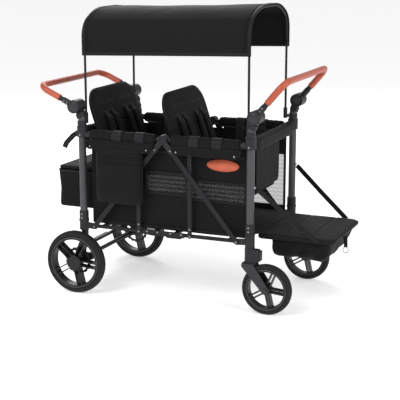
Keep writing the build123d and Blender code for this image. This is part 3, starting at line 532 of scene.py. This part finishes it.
rail_rolls = []
for sign, side in SIDES:
    for x_from, x_to, half in ((-338, -36, "rear"), (36, 338, "front")):
        foam = roll(x_from, x_to, sign * RAIL_Y, RAIL_Z, RAIL_PAD_R)
        pad = sewn(f"rail_pad_{half}_{side}", foam, oxford)
        rail_rolls.append(pad)
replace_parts(rail_rolls[0], "side_rail_pads")


def skirt_shape(x_from, x_to, drop, corner, flare):
    """Hangs from the roll: lower corners are quarter circles, the hem swings out by t^1.5 and waves."""
    s = np.linspace(0, 1, 49)[:, None]
    t = np.linspace(0, 1, 13)[None, :]
    x = x_from + (x_to - x_from) * s
    edge = np.clip(1 - np.minimum(x - x_from, x_to - x) / corner, 0, 1)
    depth = drop - corner * (1 - np.sqrt(1 - edge ** 2))
    wave = 1.2 * np.sin(s * 17.0) * t ** 2
    y = RAIL_Y + 18.5 + 4.0 * np.minimum(1, 3 * t) + flare * t ** 1.5 + wave
    return x, np.broadcast_to(y, (49, 13)), RAIL_Z - 16 - depth * t


for sign, side in SIDES:
    for x_from, x_to, half, flare in ((-346, -40, "rear", 19.0), (44, 344, "front", 3.0)):
        x, y, z = skirt_shape(x_from, x_to, 35.0, 20.0, flare)
        points = placed(np.stack(np.broadcast_arrays(x, sign * y, z), -1))
        skirt = grid_piece(f"rail_skirt_{half}_{side}", points, oxford, "chassis")
        rim = np.concatenate((points[0], points[1:-1, -1], points[-1, ::-1]))
        cord = carried(circle(0.0017, 8), rim, (0, sign, 0.01))
        piping = sewn(f"skirt_piping_{half}_{side}", cord, binding)
        snaps = []
        for u in (0.075, 0.925):
            spot = points[int(u * 48), 9] + (0, sign * 0.0004, 0)
            stud = [(0, 0), (0.0022, 0), (0.0018, 0.0030), (0, 0.0052)]
            snaps.append(revolved(stud, spot, (0, sign, 0), 20))
        snap = new_piece(f"skirt_snaps_{half}_{side}", *joined(*snaps), snap_metal, "steel", "chassis")

# Each band is a loop round the roll and a tail down to the seat, with two short tabs sewn over it.
LOOP_R, TAB_R = 0.0247, 0.0262
straps = []
for sign, side in SIDES:
    for band in BANDS:
        turn = np.linspace(0, 2 * np.pi, 49)[:-1]
        spoke = np.column_stack((np.zeros(48), LOOP_R * np.cos(turn), LOOP_R * np.sin(turn)))
        straps.append(carried(strap_profile(BAND_W, BAND_T, ribs=5, rib=0.00035),
                              spoke + at(band, RAIL_Y * sign, RAIL_Z), spoke, closed=True))
        fall = evenly(np.array([at(band, sign * 242.9, z) for z in (RAIL_Z, 600, 520, 433)]), 14)
        straps.append(carried(strap_profile(BAND_W, BAND_T, ribs=5, rib=0.0003), fall, (0, -sign, 0)))
        for x_tab in (-12.0, 12.0):
            rise = np.linspace(-0.3, 0.9, 8)
            arc = np.column_stack((0 * rise, sign * TAB_R * np.cos(rise), TAB_R * np.sin(rise)))
            tab = evenly(arc + at(band + x_tab, sign * RAIL_Y, RAIL_Z), 12)
            straps.append(carried(strap_profile(0.010, 0.0008), tab, (0, sign, 0.3)))
seat_webbing = new_piece("seat_webbing", *joined(*straps), webbing, "webbing", "chassis")
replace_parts(seat_webbing, "seat_straps")


# Padded boards round the two cross rails swell between their piped edges.
def outline_rect(width, height, radii, steps=8):
    """Rounded rectangle about the origin; radii run lower left, lower right, upper right, upper left."""
    points = []
    for k, radius in enumerate(radii):
        angle = math.pi + k * math.pi / 2 + np.linspace(0, math.pi / 2, steps)
        right, top = 1 if k in (1, 2) else -1, 1 if k > 1 else -1
        centre = (right * (width / 2 - radius), top * (height / 2 - radius))
        points.append(np.column_stack((centre[0] + radius * np.cos(angle),
                                       centre[1] + radius * np.sin(angle))))
    return np.concatenate(points)


def upright(outline):
    """An outline stood up along X and Z."""
    return np.column_stack((outline[:, 0], 0 * outline[:, 0], outline[:, 1]))


def level(outline):
    """An outline laid along X and Y."""
    return np.column_stack((outline, np.zeros(len(outline))))


def board_shape(outline, thickness, origin, u=(1, 0, 0), v=(0, 1, 0), ease=0.35):
    """A slab on an outline in the plane of u and v: five rings, the outer ones inset to ease the edge."""
    outline = np.asarray(outline, float)
    ahead = np.roll(outline, -1, 0) - np.roll(outline, 1, 0)
    ahead /= np.linalg.norm(ahead, axis=1)[:, None]
    inward = np.column_stack((-ahead[:, 1], ahead[:, 0]))
    u, v = np.asarray(u, float), np.asarray(v, float)
    rings = []
    for inset, level in ((ease, -0.5), (0.08, -0.32), (0.0, 0.0), (0.08, 0.32), (ease, 0.5)):
        flat = outline + inward * inset * thickness
        rings.append(origin + flat[:, :1] * u + flat[:, 1:] * v + level * thickness * np.cross(u, v))
    return lofted(rings)


def mesh_points(thing):
    """All vertex positions of a piece."""
    points = np.empty(len(thing.data.vertices) * 3)
    thing.data.vertices.foreach_get("co", points)
    return points.reshape(-1, 3)


def swell(thing, cap, voxel=0.006, pressure=4.0):
    """Fills a closed fabric case with air pressure, each point's move cut to cap, then smooths it."""
    bpy.context.view_layer.objects.active = thing
    remesh = thing.modifiers.new("remesh", "REMESH")
    remesh.mode = "VOXEL"
    remesh.voxel_size = voxel
    bpy.ops.object.modifier_apply(modifier=remesh.name)
    thing.data.polygons.foreach_set("use_smooth", np.full(len(thing.data.polygons), True))
    start = mesh_points(thing)
    cloth = thing.modifiers.new("cloth", "CLOTH")
    cloth.settings.use_pressure = True
    cloth.settings.uniform_pressure_force = pressure
    cloth.settings.effector_weights.gravity = 0
    for step in range(1, 21):
        bpy.context.scene.frame_set(step)
    solved = thing.evaluated_get(bpy.context.evaluated_depsgraph_get())
    moved = np.empty(len(start) * 3)
    solved.data.vertices.foreach_get("co", moved)
    thing.modifiers.remove(cloth)
    bpy.context.scene.frame_set(1)
    shift = np.nan_to_num(moved.reshape(-1, 3) - start)
    length = np.linalg.norm(shift, axis=1)[:, None]
    thing.data.vertices.foreach_set("co", (start + shift * np.minimum(1, cap / (length + 1e-9))).ravel())
    smooth = thing.modifiers.new("smooth", "SMOOTH")
    smooth.iterations = 2
    subdivide = thing.modifiers.new("subdivide", "SUBSURF")
    subdivide.levels = subdivide.render_levels = 1
    for modifier in (smooth.name, subdivide.name):
        bpy.ops.object.modifier_apply(modifier=modifier)


def sew(thing, distance, width, depth, towards):
    """Pulls points near a stitch line in along a direction, by a Gaussian of their distance to it."""
    points = mesh_points(thing)
    pull = depth * np.exp(-(distance(points) / width) ** 2)
    thing.data.vertices.foreach_set("co", (points + pull[:, None] * np.asarray(towards(points))).ravel())


def hug(path, thing, gap):
    """Lays a closed line on a piece: each point goes to the nearest vertex, then the line is smoothed."""
    points = mesh_points(thing)
    nearest = np.array([points[np.argmin(((points - spot) ** 2).sum(1))] for spot in path])
    kernel = sum(np.roll(nearest, k, 0) for k in range(-3, 4)) / 7
    away = kernel - points.mean(0)
    return kernel + gap * away / np.linalg.norm(away, axis=1)[:, None]


END_PADS = {}
for end, x in (("rear", -381.0), ("front", 381.0)):
    case = board_shape(outline_rect(0.486, 0.070, (0.012,) * 4), 0.029, at(x, 0, RAIL_Z),
                       (0, 1, 0), (0, 0, 1))
    pad = sewn(f"{end}_cross_pad", case, oxford)
    swell(pad, 0.0045)
    END_PADS[end] = pad
    ring = outline_rect(0.489, 0.074, (0.012,) * 4)
    edge = at(x, 0, RAIL_Z) + np.column_stack((np.zeros(len(ring)), ring))
    edge = hug(evenly(edge, 160, True), pad, 0.0006)
    sewn(f"{end}_cross_pad_piping", carried(circle(0.0016, 8), edge, (1, 0, 0), True), binding)
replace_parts(END_PADS["rear"], "end_rail_pads")


# ---- Tub ------------------------------------------------------------------------------------
# The side walls are oxford with two bound windows each, filled with warp-knitted net; they are
# sewn to the floor and laced to the pads.  The floor is a stiff board in a fabric case.

# The net is grey polyester, knitted in level courses; what lies behind it shows through its holes.
net, tree, shader = new_material("warp_knitted_net", {"Roughness": 0.7, "Specular IOR Level": 0.2})
place = add(tree, "TexCoord").outputs["Object"]
course = add(tree, "TexWave", {"Vector": place, "Scale": 1000 / 9.0 / 20 * math.pi, "Distortion": 1.4,
                               "Detail": 1.0, "Detail Scale": 0.12}, bands_direction="Z")
tone = add(tree, "Mix", {"Factor": course.outputs["Fac"], "A": linear("#1d1d1e"), "B": linear("#48484a")},
           data_type="RGBA")
tree.links.new(tone.outputs["Result"], shader.inputs["Base Color"])
cover_share = add(tree, "MapRange", {"Value": course.outputs["Fac"], "To Min": 0.68, "To Max": 0.60})
tree.links.new(cover_share.outputs["Result"], shader.inputs["Alpha"])

TUB_Y, TUB_X, TUB_Z = 250.0, (-347.0, 359.0), (306.0, 668.0)
WINDOWS = {-1: ((-88.0, 88.0, 464.0, 548.0), (100.0, 350.0, 450.0, 525.0)),
           1: ((-88.0, 88.0, 464.0, 548.0), (190.0, 350.0, 336.0, 570.0))}


def wall(x_from, x_to, z_from, z_to, y, belly, columns, rows):
    """An upright panel: bellied inward by a product of half sines, puckered at its edges by a sine."""
    s, t = np.meshgrid(np.linspace(0, 1, columns), np.linspace(0, 1, rows), indexing="ij")
    inward = belly * np.sin(np.pi * s) * np.sin(np.pi * t) + 0.8 * np.sin(31 * s) * (2 * t - 1) ** 4
    depth = y - np.sign(y) * (inward + 0.8)
    return np.stack((x_from + (x_to - x_from) * s, depth, z_from + (z_to - z_from) * t), -1)


for sign, side in SIDES:
    points = wall(*TUB_X, *TUB_Z, sign * TUB_Y, 3.0, 119, 62)
    middle = (points[:-1, :-1] + points[1:, 1:]) / 2
    cloth_here = np.ones(middle.shape[:2], bool)
    for x0, x1, z0, z1 in WINDOWS[sign]:
        between = (middle[..., 0] > x0) & (middle[..., 0] < x1)
        cloth_here &= ~(between & (middle[..., 2] > z0) & (middle[..., 2] < z1))
    panel = grid_piece(f"tub_side_{side}", placed(points), oxford, "chassis", keep=cloth_here)
    bindings = []
    for k, (x0, x1, z0, z1) in enumerate(WINDOWS[sign]):
        knit = wall(x0 - 5, x1 + 5, z0 - 5, z1 + 5, sign * (TUB_Y - 0.6), 2.0, 40, 14)
        window = grid_piece(f"tub_window_{k}_{side}", placed(knit), net, "chassis")
        ring = outline_rect((x1 - x0 + 6) / 1000, (z1 - z0 + 6) / 1000, (0.010,) * 4)
        edge = upright(ring) + at((x0 + x1) / 2, sign * (TUB_Y + 0.2), (z0 + z1) / 2)
        bindings.append(carried(strap_profile(0.009, 0.0020), evenly(edge, 150, True), (0, sign, 0), True))
    for z in (TUB_Z[0] + 7, 640.0):
        stops = (TUB_X[0] + 3, 0, TUB_X[1] - 3)
        line = evenly(np.array([at(x, sign * (TUB_Y + 0.6), z) for x in stops]), 60)
        bindings.append(carried(strap_profile(0.010, 0.0018), line, (0, sign, 0)))
    bound = sewn(f"tub_bindings_{side}", joined(*bindings), binding)
    if sign < 0:
        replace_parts(panel, "tub_sides")

s, t = np.meshgrid(np.linspace(-1, 1, 60), np.linspace(0, 1, 36), indexing="ij")
points = np.stack((-348.0 + 2.4 * (1 - s ** 2) * np.sin(np.pi * t), 244.0 * s, 306.0 + 344.0 * t), -1)
rear_wall = grid_piece("tub_rear_panel", placed(points), oxford, "chassis")
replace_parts(rear_wall, "tub_rear_wall")
floor_low, floor_high = box_of("tub_floor")
floor_centre, floor_size = (floor_low + floor_high) / 2, floor_high - floor_low
floor_outline = outline_rect(floor_size[0] - 0.002, floor_size[1] - 0.002, (0.012,) * 4)
case = board_shape(floor_outline, 0.0072, floor_centre)
floor_board = sewn("tub_floor_board", case, oxford)
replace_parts(floor_board, "tub_floor")


# ---- Pockets and badge ----------------------------------------------------------------------
# Each side carries a bellows pocket behind the posts with a flap sewn across its top; a flat
# pouch hangs inside the front, and a stitched oval of coral leather sits on the front corner.

def pillow_shape(half_u, half_v, depth, origin, u, v, power=6, taper=0.0, flat_back=True, steps=36):
    """A crowned case: depth times the root of (1-|s|^p)(1-|t|^p), narrowed towards its foot."""
    s, t = np.meshgrid(np.linspace(-1, 1, steps), np.linspace(-1, 1, steps), indexing="ij")
    crown = ((1 - np.abs(s) ** power) * (1 - np.abs(t) ** power)) ** 0.5
    round_off = 1 - taper * np.clip(-t, 0, 1) ** 10
    flat = np.stack((s * half_u * round_off, t * half_v), -1)
    u, v = np.asarray(u, float), np.asarray(v, float)
    normal = np.cross(u, v)
    face = origin + flat[..., :1] * u + flat[..., 1:] * v
    front = face + (depth * crown)[..., None] * normal
    back = face - (0.001 if flat_back else depth) * crown[..., None] * normal
    quads = grid_faces(steps, steps)
    return np.stack((front, back)), np.concatenate((quads, quads[:, ::-1] + steps * steps)).tolist()


POCKET_X, POCKET_Z = (-302.0, -88.0), (412.0, 652.0)
POCKET_BACK, POCKET_DEPTH = 292.0, 27.0
pocket_mid = (sum(POCKET_X) / 2, sum(POCKET_Z) / 2)
half = ((POCKET_X[1] - POCKET_X[0]) / 2000, (POCKET_Z[1] - POCKET_Z[0]) / 2000)
pocket_pieces = []
for sign, side in SIDES:
    centre = at(pocket_mid[0], sign * POCKET_BACK, pocket_mid[1])
    shape = pillow_shape(*half, POCKET_DEPTH / 1000, centre, (-sign, 0, 0), (0, 0, 1), taper=0.09,
                         steps=60)
    pocket = sewn(f"side_pocket_{side}", shape, oxford)
    sag = mesh_points(pocket)
    low = np.clip((0.560 - sag[:, 2]) / 0.15, 0, 1)
    fold = 0.0016 * np.sin(sag[:, 0] * 62 + 4 * low) * low + 0.0012 * np.sin(sag[:, 2] * 70) * (1 - low)
    sag[:, 1] += sign * fold * (np.abs(sag[:, 1]) > 0.300)
    pocket.data.vertices.foreach_set("co", sag.ravel())
    for z, depth in ((0.586, 0.0035), (0.610, 0.0022)):
        sew(pocket, lambda p, z=z: p[:, 2] - z, 0.0030, depth,
            lambda p, sign=sign: (np.abs(p[:, 1:2]) > 0.300) * (0, -sign, 0))
    seams = []
    for z in (586.0, 612.0):
        s = np.linspace(-0.93, 0.93, 50)
        t = (z - pocket_mid[1]) / (half[1] * 1000)
        face = POCKET_BACK + POCKET_DEPTH * ((1 - np.abs(s) ** 6) * (1 - abs(t) ** 6)) ** 0.5
        line = np.column_stack((pocket_mid[0] + s * half[0] * 1000, sign * (face + 0.2), np.full(50, z)))
        seams.append(carried(circle(0.0014, 6), placed(line), (0, sign, 0)))
    sewn(f"side_pocket_seams_{side}", joined(*seams), binding)
    pocket_pieces.append(pocket)
    ring = outline_rect(2 * half[0], 2 * half[1], (0.030, 0.030, 0.006, 0.006))
    edge = upright(ring) + at(pocket_mid[0], sign * (POCKET_BACK + 1.5), pocket_mid[1])
    edge = evenly(edge, 180, True)
    sewn(f"side_pocket_piping_{side}", carried(circle(0.0017, 8), edge, (0, 1, 0), True), binding)
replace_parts(pocket_pieces[0], "side_pockets")

shape = pillow_shape(0.146, 0.110, 0.012, at(360.0, 0, 587.0), (0, -1, 0), (0, 0, 1), taper=0.10,
                     steps=44)
pouch = sewn("front_inner_pouch", shape, oxford)
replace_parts(pouch, "front_pouch")

# Its piping marks a pocket mouth, a divider and the two side seams.
pouch_trim = []
for z in (476.0, 566.0, 648.0):
    path = evenly(np.array([at(347.6, y, z) for y in (-140, 0, 140)]), 30)
    pouch_trim.append(carried(circle(0.0019, 8), path, (0, 0, 1)))
for y in (-146.0, 146.0):
    path = evenly(np.array([at(355.0, y, z) for z in (480, 566, 660)]), 30)
    pouch_trim.append(carried(circle(0.0019, 8), path, (1, 0, 0)))
sewn("front_pouch_piping", joined(*pouch_trim), binding)

# The badge is a plain oval of smooth coral leather, flat, and stitched round its rim.
coral = mottled("coral_pu_leather", {"Sheen Weight": 0.1, "Specular IOR Level": 0.4},
                "#bd5638", "#cc6446", 30.0, (0.45, 0.55), 1.6, 0.10)
badge_low, badge_high = box_of("side_badge")
badge_at, badge_half = (badge_low + badge_high) / 2, (badge_high - badge_low) / 2
turn = np.linspace(0, 2 * np.pi, 72, endpoint=False)
oval = np.column_stack((0.97 * badge_half[0] * np.cos(turn), 0.86 * badge_half[2] * np.sin(turn)))
case = board_shape(oval, 0.0014, badge_at, (1, 0, 0), (0, 0, 1), ease=0.15)
badge = new_piece("coral_badge", *case, coral, "tan_leather", "chassis")
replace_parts(badge, "side_badge")
stitches = []
for k in range(0, 72, 2):
    ends = [badge_at + (0.93 * oval[j % 72, 0], -0.0011, 0.86 * oval[j % 72, 1]) for j in (k, k + 1)]
    stitches.append(carried(circle(0.0006, 6), evenly(np.array(ends), 4), (0, 1, 0)))
new_piece("coral_badge_stitches", *joined(*stitches), stitch_thread, "tan_leather", "chassis")


# ---- Rear bag -------------------------------------------------------------------------------
# A lofted fabric box behind the tub, slack at its belly, open under a padded lid whose front
# strip is sewn to the tub; a zip line and piping run round the rim.

BAG_MID, BAG_SIZE = -441.2, (0.1785, 0.455)
BAG_RADII = (0.022, 0.004, 0.004, 0.022)
base_line = evenly(level(outline_rect(*BAG_SIZE, BAG_RADII)), 200, True)
# Up the outside and down the inside: how far in, at what height, and how much the cloth slackens.
rings = []
for inset, z, belly in ((0.050, 359.0, 0.0), (0.012, 358.0, 0.0), (0.004, 360.5, 0.0), (0.001, 368.0, 0.3),
                        (0.0, 400.0, 1.0), (0.0, 440.0, 1.0), (0.0, 480.0, 0.6), (0.0, 510.0, 0.2),
                        (0.0, 523.6, 0.0), (0.005, 523.6, 0.0), (0.006, 510.0, 0.2), (0.006, 440.0, 1.0),
                        (0.007, 380.0, 0.6), (0.012, 364.0, 0.0)):
    scale = 1 - 2 * inset / np.array(BAG_SIZE)
    pull = 0.0035 * belly * (1 + 0.35 * np.sin(37 * base_line[:, 1] + 0.05 * z))
    slack = 1 - 2 * pull[:, None] / np.array(BAG_SIZE) * (1 if inset < 0.006 else 1.2)
    flat = base_line[:, :2] * scale * slack
    rings.append(level(flat) + at(BAG_MID, 0, z))
bag = sewn("rear_bag_case", lofted(rings), oxford)
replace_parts(bag, "rear_bag")
LID_Z, LID_X = 532.0, (-530.5, -426.5)
lid_length, lid_mid = (LID_X[1] - LID_X[0]) / 1000, sum(LID_X) / 2
case = board_shape(outline_rect(lid_length, 0.453, (0.020, 0.004, 0.004, 0.020)), 0.011,
                   at(lid_mid, 0, LID_Z))
lid = sewn("rear_bag_lid_pad", case, oxford, "bag_lid")
swell(lid, 0.0025, voxel=0.0045)
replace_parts(lid, "rear_bag_lid")
case = board_shape(outline_rect(0.0715, 0.453, (0.004,) * 4), 0.0125, at(-388.0, 0, LID_Z))
strip = sewn("rear_bag_strip", case, oxford)
ring = outline_rect(lid_length, 0.4535, (0.021, 0.003, 0.003, 0.021))
edge = at(lid_mid, 0, LID_Z - 4) + level(ring)
edge = hug(evenly(edge, 200, True), lid, 0.0004)
sewn("rear_bag_lid_piping", carried(circle(0.0018, 8), edge, (0, 0, 1), True), binding, "bag_lid")
zip_line = evenly(base_line + at(BAG_MID, 0, 517), 200, True)
new_piece("rear_bag_zip", *carried(strap_profile(0.0020, 0.0070), zip_line, (0, 0, 1), True), webbing,
          "webbing", "chassis")


# ---- Seats ----------------------------------------------------------------------------------
# Foam backs and bases in quilted polyester, piped, with two rows of harness slots.  The backs
# fold about a sewn hinge; each carries shoulder pads and ribbed straps down to a buckle.

SEATS = {"rear": (-266.0, -34.0), "front": (77.0, 320.0)}
RECLINE = math.radians(19)
SLOTS_UP, SLOTS_ACROSS = (0.312, 0.352), (-0.128, -0.062, 0.062, 0.128)
BELT_W, BELT_T = 0.025, 0.0016
for end, (x0, x1) in SEATS.items():
    body = f"{end}_seat"
    hinge = at(x0 + 10, 0, 474.4)
    up = np.array((-math.sin(RECLINE), 0, math.cos(RECLINE)))
    out = np.array((math.cos(RECLINE), 0, math.sin(RECLINE)))
    outline = outline_rect(0.436, 0.424, (0.012, 0.012, 0.092, 0.092), steps=14)
    case = board_shape(outline, 0.019, hinge + up * 0.2115, (0, 1, 0), up)
    back = new_piece(f"{end}_seat_back_pad", *case, seat_cloth, "seat_fabric", body)
    swell(back, 0.0045)

    def local(points, hinge=hinge, up=up, out=out):
        """Across, along and through the back."""
        rest = points - hinge
        return rest[:, 1], rest @ up, rest @ out

    def inward(points, out=out):
        """From either face towards the middle of the back."""
        return -np.sign(local(points)[2])[:, None] * out

    sew(back, lambda p: local(p)[1] - 0.235 - 0.02 * np.cos(local(p)[0] * 14), 0.0050, 0.0030, inward)
    sew(back, lambda p: local(p)[1] - 0.105, 0.0050, 0.0035, inward)
    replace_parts(back, f"{end}_seat_back")
    ring = outline_rect(0.438, 0.4255, (0.012, 0.012, 0.093, 0.093), steps=14)
    across = np.column_stack((np.zeros(len(ring)), ring[:, 0], np.zeros(len(ring))))
    parts = []
    for w in (-0.0075, 0.0075):
        edge = hinge + up * 0.2125 + out * w + across + ring[:, 1:] * up
        parts.append(carried(circle(0.0021, 8), hug(evenly(edge, 240, True), back, 0.0004), out, True))
    new_piece(f"{end}_seat_piping", *joined(*parts), binding, "seat_fabric", body)
    slots = []
    for v in SLOTS_UP:
        for y in SLOTS_ACROSS:
            ring = outline_rect(0.044, 0.008, (0.0038,) * 4)
            across = np.column_stack((np.zeros(len(ring)), ring[:, 0] + y, np.zeros(len(ring))))
            edge = hinge + up * v + out * 0.0136 + across + ring[:, 1:] * up
            slots.append(carried(circle(0.0012, 6), evenly(edge, 40, True), out, True))
    new_piece(f"{end}_harness_slots", *joined(*slots), nylon, "black_plastic", body)
    belts, pads = [], []
    for sign in (-1, 1):
        for first, last, low in ((0.062, 0.016, 0.074), (0.124, 0.150, 0.040)):
            run = [(first, 0.312, 0.0135), (first, 0.298, 0.021), (first, 0.230, 0.025),
                   ((first + last) / 2, 0.140, 0.023), (last, low, 0.0195)]
            path = [hinge + (0, sign * y, 0) + up * v + out * w for y, v, w in run]
            path = evenly(rounded_path(path, (0.006,) * 3), 60)
            belts.append(carried(strap_profile(BELT_W, BELT_T, ribs=4, rib=0.0002), path, out))
            on_belt = hinge + (0, sign * first, 0) + up * 0.228 + out * 0.0262
            pads.append(pillow_shape(0.021, 0.062, 0.0075, on_belt, (0, 1, 0), up, flat_back=False,
                                     steps=20))
        lap = [(0.160, 0.036, 0.0135), (0.110, 0.060, 0.020), (0.015, 0.068, 0.019)]
        path = [hinge + (0, sign * y, 0) + up * v + out * w for y, v, w in lap]
        path = evenly(rounded_path(path, (0.02,)), 40)
        belts.append(carried(strap_profile(BELT_W, BELT_T, ribs=4, rib=0.0002), path, out))
    new_piece(f"{end}_harness_belts", *joined(*belts), webbing, "webbing", body)
    shoulder = new_piece(f"{end}_shoulder_pads", *joined(*pads), oxford, "seat_fabric", body)
    buckle = board_shape(outline_rect(0.034, 0.042, (0.010,) * 4), 0.010,
                         hinge + up * 0.072 + out * 0.0235, (0, 1, 0), up)
    new_piece(f"{end}_harness_buckle", *buckle, nylon, "black_plastic", body)
    case = board_shape(outline_rect((x1 - x0) / 1000 - 0.008, 0.474, (0.008,) * 4), 0.029,
                       at((x0 + x1) / 2, 0, 444))
    base = new_piece(f"{end}_seat_base_pad", *case, seat_cloth, "seat_fabric", "chassis")
    swell(base, 0.0032, voxel=0.007)
    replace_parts(base, f"{end}_seat_base")


# ---- Foot flap ------------------------------------------------------------------------------
# The tub's front wall folds down as a padded board held level by two straps; a slack pouch
# hangs under it, with a steel ring at its outer end.

FLAP_X, FLAP_Z = (384.0, 724.0), 308.0
case = board_shape(outline_rect(0.334, 0.418, (0.010, 0.046, 0.046, 0.010), steps=10), 0.0195,
                   at(sum(FLAP_X) / 2, 0, FLAP_Z))
flap = sewn("foot_flap_pad", case, oxford, "flap")
swell(flap, 0.0022, voxel=0.0065)
for line in (0.500, 0.610):
    sew(flap, lambda p, line=line: p[:, 0] - MID_X - line, 0.0045, 0.0022,
        lambda p: np.column_stack((0 * p[:, 0], 0 * p[:, 0], -np.sign(p[:, 2] - FLAP_Z / 1000))))
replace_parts(flap, "flap_panel")
s, t = np.meshgrid(np.linspace(0, 1, 22), np.linspace(-1, 1, 30), indexing="ij")
points = np.stack((354.0 + 50.0 * s, 208.0 * t, 314.2 + 6.6 * s ** 1.5 + 0.3 * np.sin(20 * t)), -1)
hinge_cloth = grid_piece("foot_flap_hinge_cloth", placed(points), oxford, None)
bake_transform(hinge_cloth)
ring = outline_rect(0.338, 0.4215, (0.008, 0.047, 0.047, 0.008), steps=10)
edge = at(sum(FLAP_X) / 2, 0, FLAP_Z + 7.5) + level(ring)
edge = hug(evenly(edge, 240, True), flap, 0.0004)
sewn("foot_flap_piping", carried(circle(0.0022, 8), edge, (0, 0, 1), True), binding, "flap")
# The pouch is lofted downwards: each ring is narrower, further back and more creased.
POUCH_HALF = (0.127, 0.186)
rings = []
outline = evenly(level(outline_rect(0.254, 0.372, (0.024,) * 4)), 220, True)
angle = np.arctan2(outline[:, 1] / POUCH_HALF[1], outline[:, 0] / POUCH_HALF[0])
for depth, shrink, shift in ((0.0, 0.0, 0.0), (8.0, 0.3, 0.0), (20.0, 0.8, 0.5), (36.0, 2.5, 1.5),
                             (52.0, 6.0, 3.0), (65.0, 12.0, 5.0), (74.0, 22.0, 8.0), (78.0, 38.0, 10.0)):
    crease = 0.0032 * np.sin(11 * angle + 0.06 * depth) * min(1, depth / 40) - 0.001 * min(1, depth / 20)
    scale = 1 - shrink / 1000 / np.array(POUCH_HALF)
    flat = outline[:, :2] * scale * (1 + np.minimum(crease, 0.0002)[:, None] / 0.13 * 1.6)
    sway = 0.0025 * np.sin(3 * angle) * depth / 70
    rings.append(np.column_stack((flat, sway)) + at(567 - shift, 0, 295.6 - depth))
foot_pouch = sewn("foot_flap_pouch", lofted(rings), oxford, "flap")
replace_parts(foot_pouch, "flap_pouch")
flap_webbing = []
for sign, side in SIDES:
    low_end, high_end = at(652, sign * 214.6, FLAP_Z + 1), at(406, sign * 260, 520)
    path = evenly(np.array([high_end, (low_end * 0.5 + high_end * 0.5) - (0, 0, 0.002), low_end]), 40)
    band = carried(strap_profile(0.021, 0.0018, ribs=4, rib=0.0002), path, (0, sign, 0))
    strap = new_piece(f"foot_flap_strap_{side}", *band, binding, "webbing", None)
    flap_webbing.append(strap)
    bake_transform(strap)
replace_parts(flap_webbing[0], "flap_straps")
clips = []
for sign, side in SIDES:
    pin = [(-0.004, 0.0), (-0.004, 0.0070), (0.003, 0.0070), (0.005, 0.0045), (0.005, 0.0)]
    clips.append(revolved(pin, at(397, sign * 266, 524), (1, 0, 0), 24))
new_piece("flap_strap_pins", *joined(*clips), snap_metal, "steel", "chassis")
# A lock strap hangs loose from the collar of each rear post.
tails = []
for sign, side in SIDES:
    run = [at(x, sign * y, z) for x, y, z in ((-398, 270, 700), (-420, 275, 686), (-450, 279, 655),
                                              (-462, 280, 632))]
    path = evenly(rounded_path(run, (0.02, 0.02)), 40)
    tails.append(carried(strap_profile(0.022, 0.0024, ribs=3, rib=0.0002), path, (0.5, sign, 0.5)))
new_piece("fold_lock_straps", *joined(*tails), binding, "webbing", "chassis")
# A steel ring hangs from a tab at the flap's outer edge.
turn = np.linspace(0, 2 * np.pi, 40, endpoint=False)
dee = at(722, -45, 244) + 0.0125 * np.column_stack((0.9 * np.cos(turn), 0 * turn, np.sin(turn)))
tag = evenly(np.array([at(716, -45, 304), at(721, -45, 286), at(722, -45, 255)]), 12)
new_piece("flap_ring", *carried(circle(0.0017, 8), dee, (0, 1, 0), True), snap_metal, "steel", "flap")
new_piece("flap_ring_tab", *carried(strap_profile(0.016, 0.0024), tag, (0, 1, 0)), binding, "webbing", "flap")


# ---- Floor, lights and camera ---------------------------------------------------------------
# A pale studio floor under one broad key and two weaker fills; the camera stands at the front
# right, a little above the rails.

floor_paint = mottled("pale_floor", {"Specular IOR Level": 0.1, "Emission Strength": 0.42,
                                     "Emission Color": (1.0, 1.0, 1.0, 1.0)},
                      "#f4f4f4", "#f7f7f7", 900.0, (0.85, 0.9), 400.0, 0.01)
reach = np.array([(-60, -60, 0), (60, -60, 0), (60, 60, 0), (-60, 60, 0)], float)
floor = new_piece("studio_floor", reach, [[0, 1, 2, 3]], floor_paint, "studio", None, closed=False)


def area_light(name, place, target, size, watts):
    """A soft square light that faces its target."""
    made = bpy.data.lights.new(name, "AREA")
    made.size, made.energy = size, watts
    thing = bpy.data.objects.new(name, made)
    thing.location = place
    thing.rotation_euler = (Vector(target) - Vector(place)).to_track_quat("-Z", "Y").to_euler()
    bpy.context.scene.collection.objects.link(thing)


area_light("key", (-1.5, -4.0, 4.2), (0, 0, 0.4), 2.4, 150)
area_light("fill", (4.5, -1.5, 2.6), (0, 0, 0.6), 2.0, 90)
area_light("back", (-2.5, 4.0, 3.2), (0, 0, 0.5), 2.5, 90)
world = bpy.data.worlds.new("studio")
world.use_nodes = True
world.node_tree.nodes["Background"].inputs["Color"].default_value = (1.0, 1.0, 1.0, 1.0)
seen = add(world.node_tree, "LightPath").outputs["Is Camera Ray"]
sky = add(world.node_tree, "MapRange", {"Value": seen, "To Min": 0.55, "To Max": 1.0})
world.node_tree.links.new(sky.outputs["Result"], world.node_tree.nodes["Background"].inputs["Strength"])
bpy.context.scene.world = world
bpy.context.scene.view_settings.view_transform = "Standard"

YAW, PITCH, FAR = 0.39726, 0.2290, 4.9244
target = Vector((-0.0187, 0.0, 0.3860))
away = Vector((math.sin(YAW) * math.cos(PITCH), -math.cos(YAW) * math.cos(PITCH), math.sin(PITCH)))
lens = bpy.data.cameras.new("camera")
lens.lens, lens.sensor_width = 101.26, 36
camera = bpy.data.objects.new("camera", lens)
camera.location = target + away * FAR
camera.rotation_euler = away.to_track_quat("Z", "Y").to_euler()
bpy.context.scene.collection.objects.link(camera)
bpy.context.scene.camera = camera
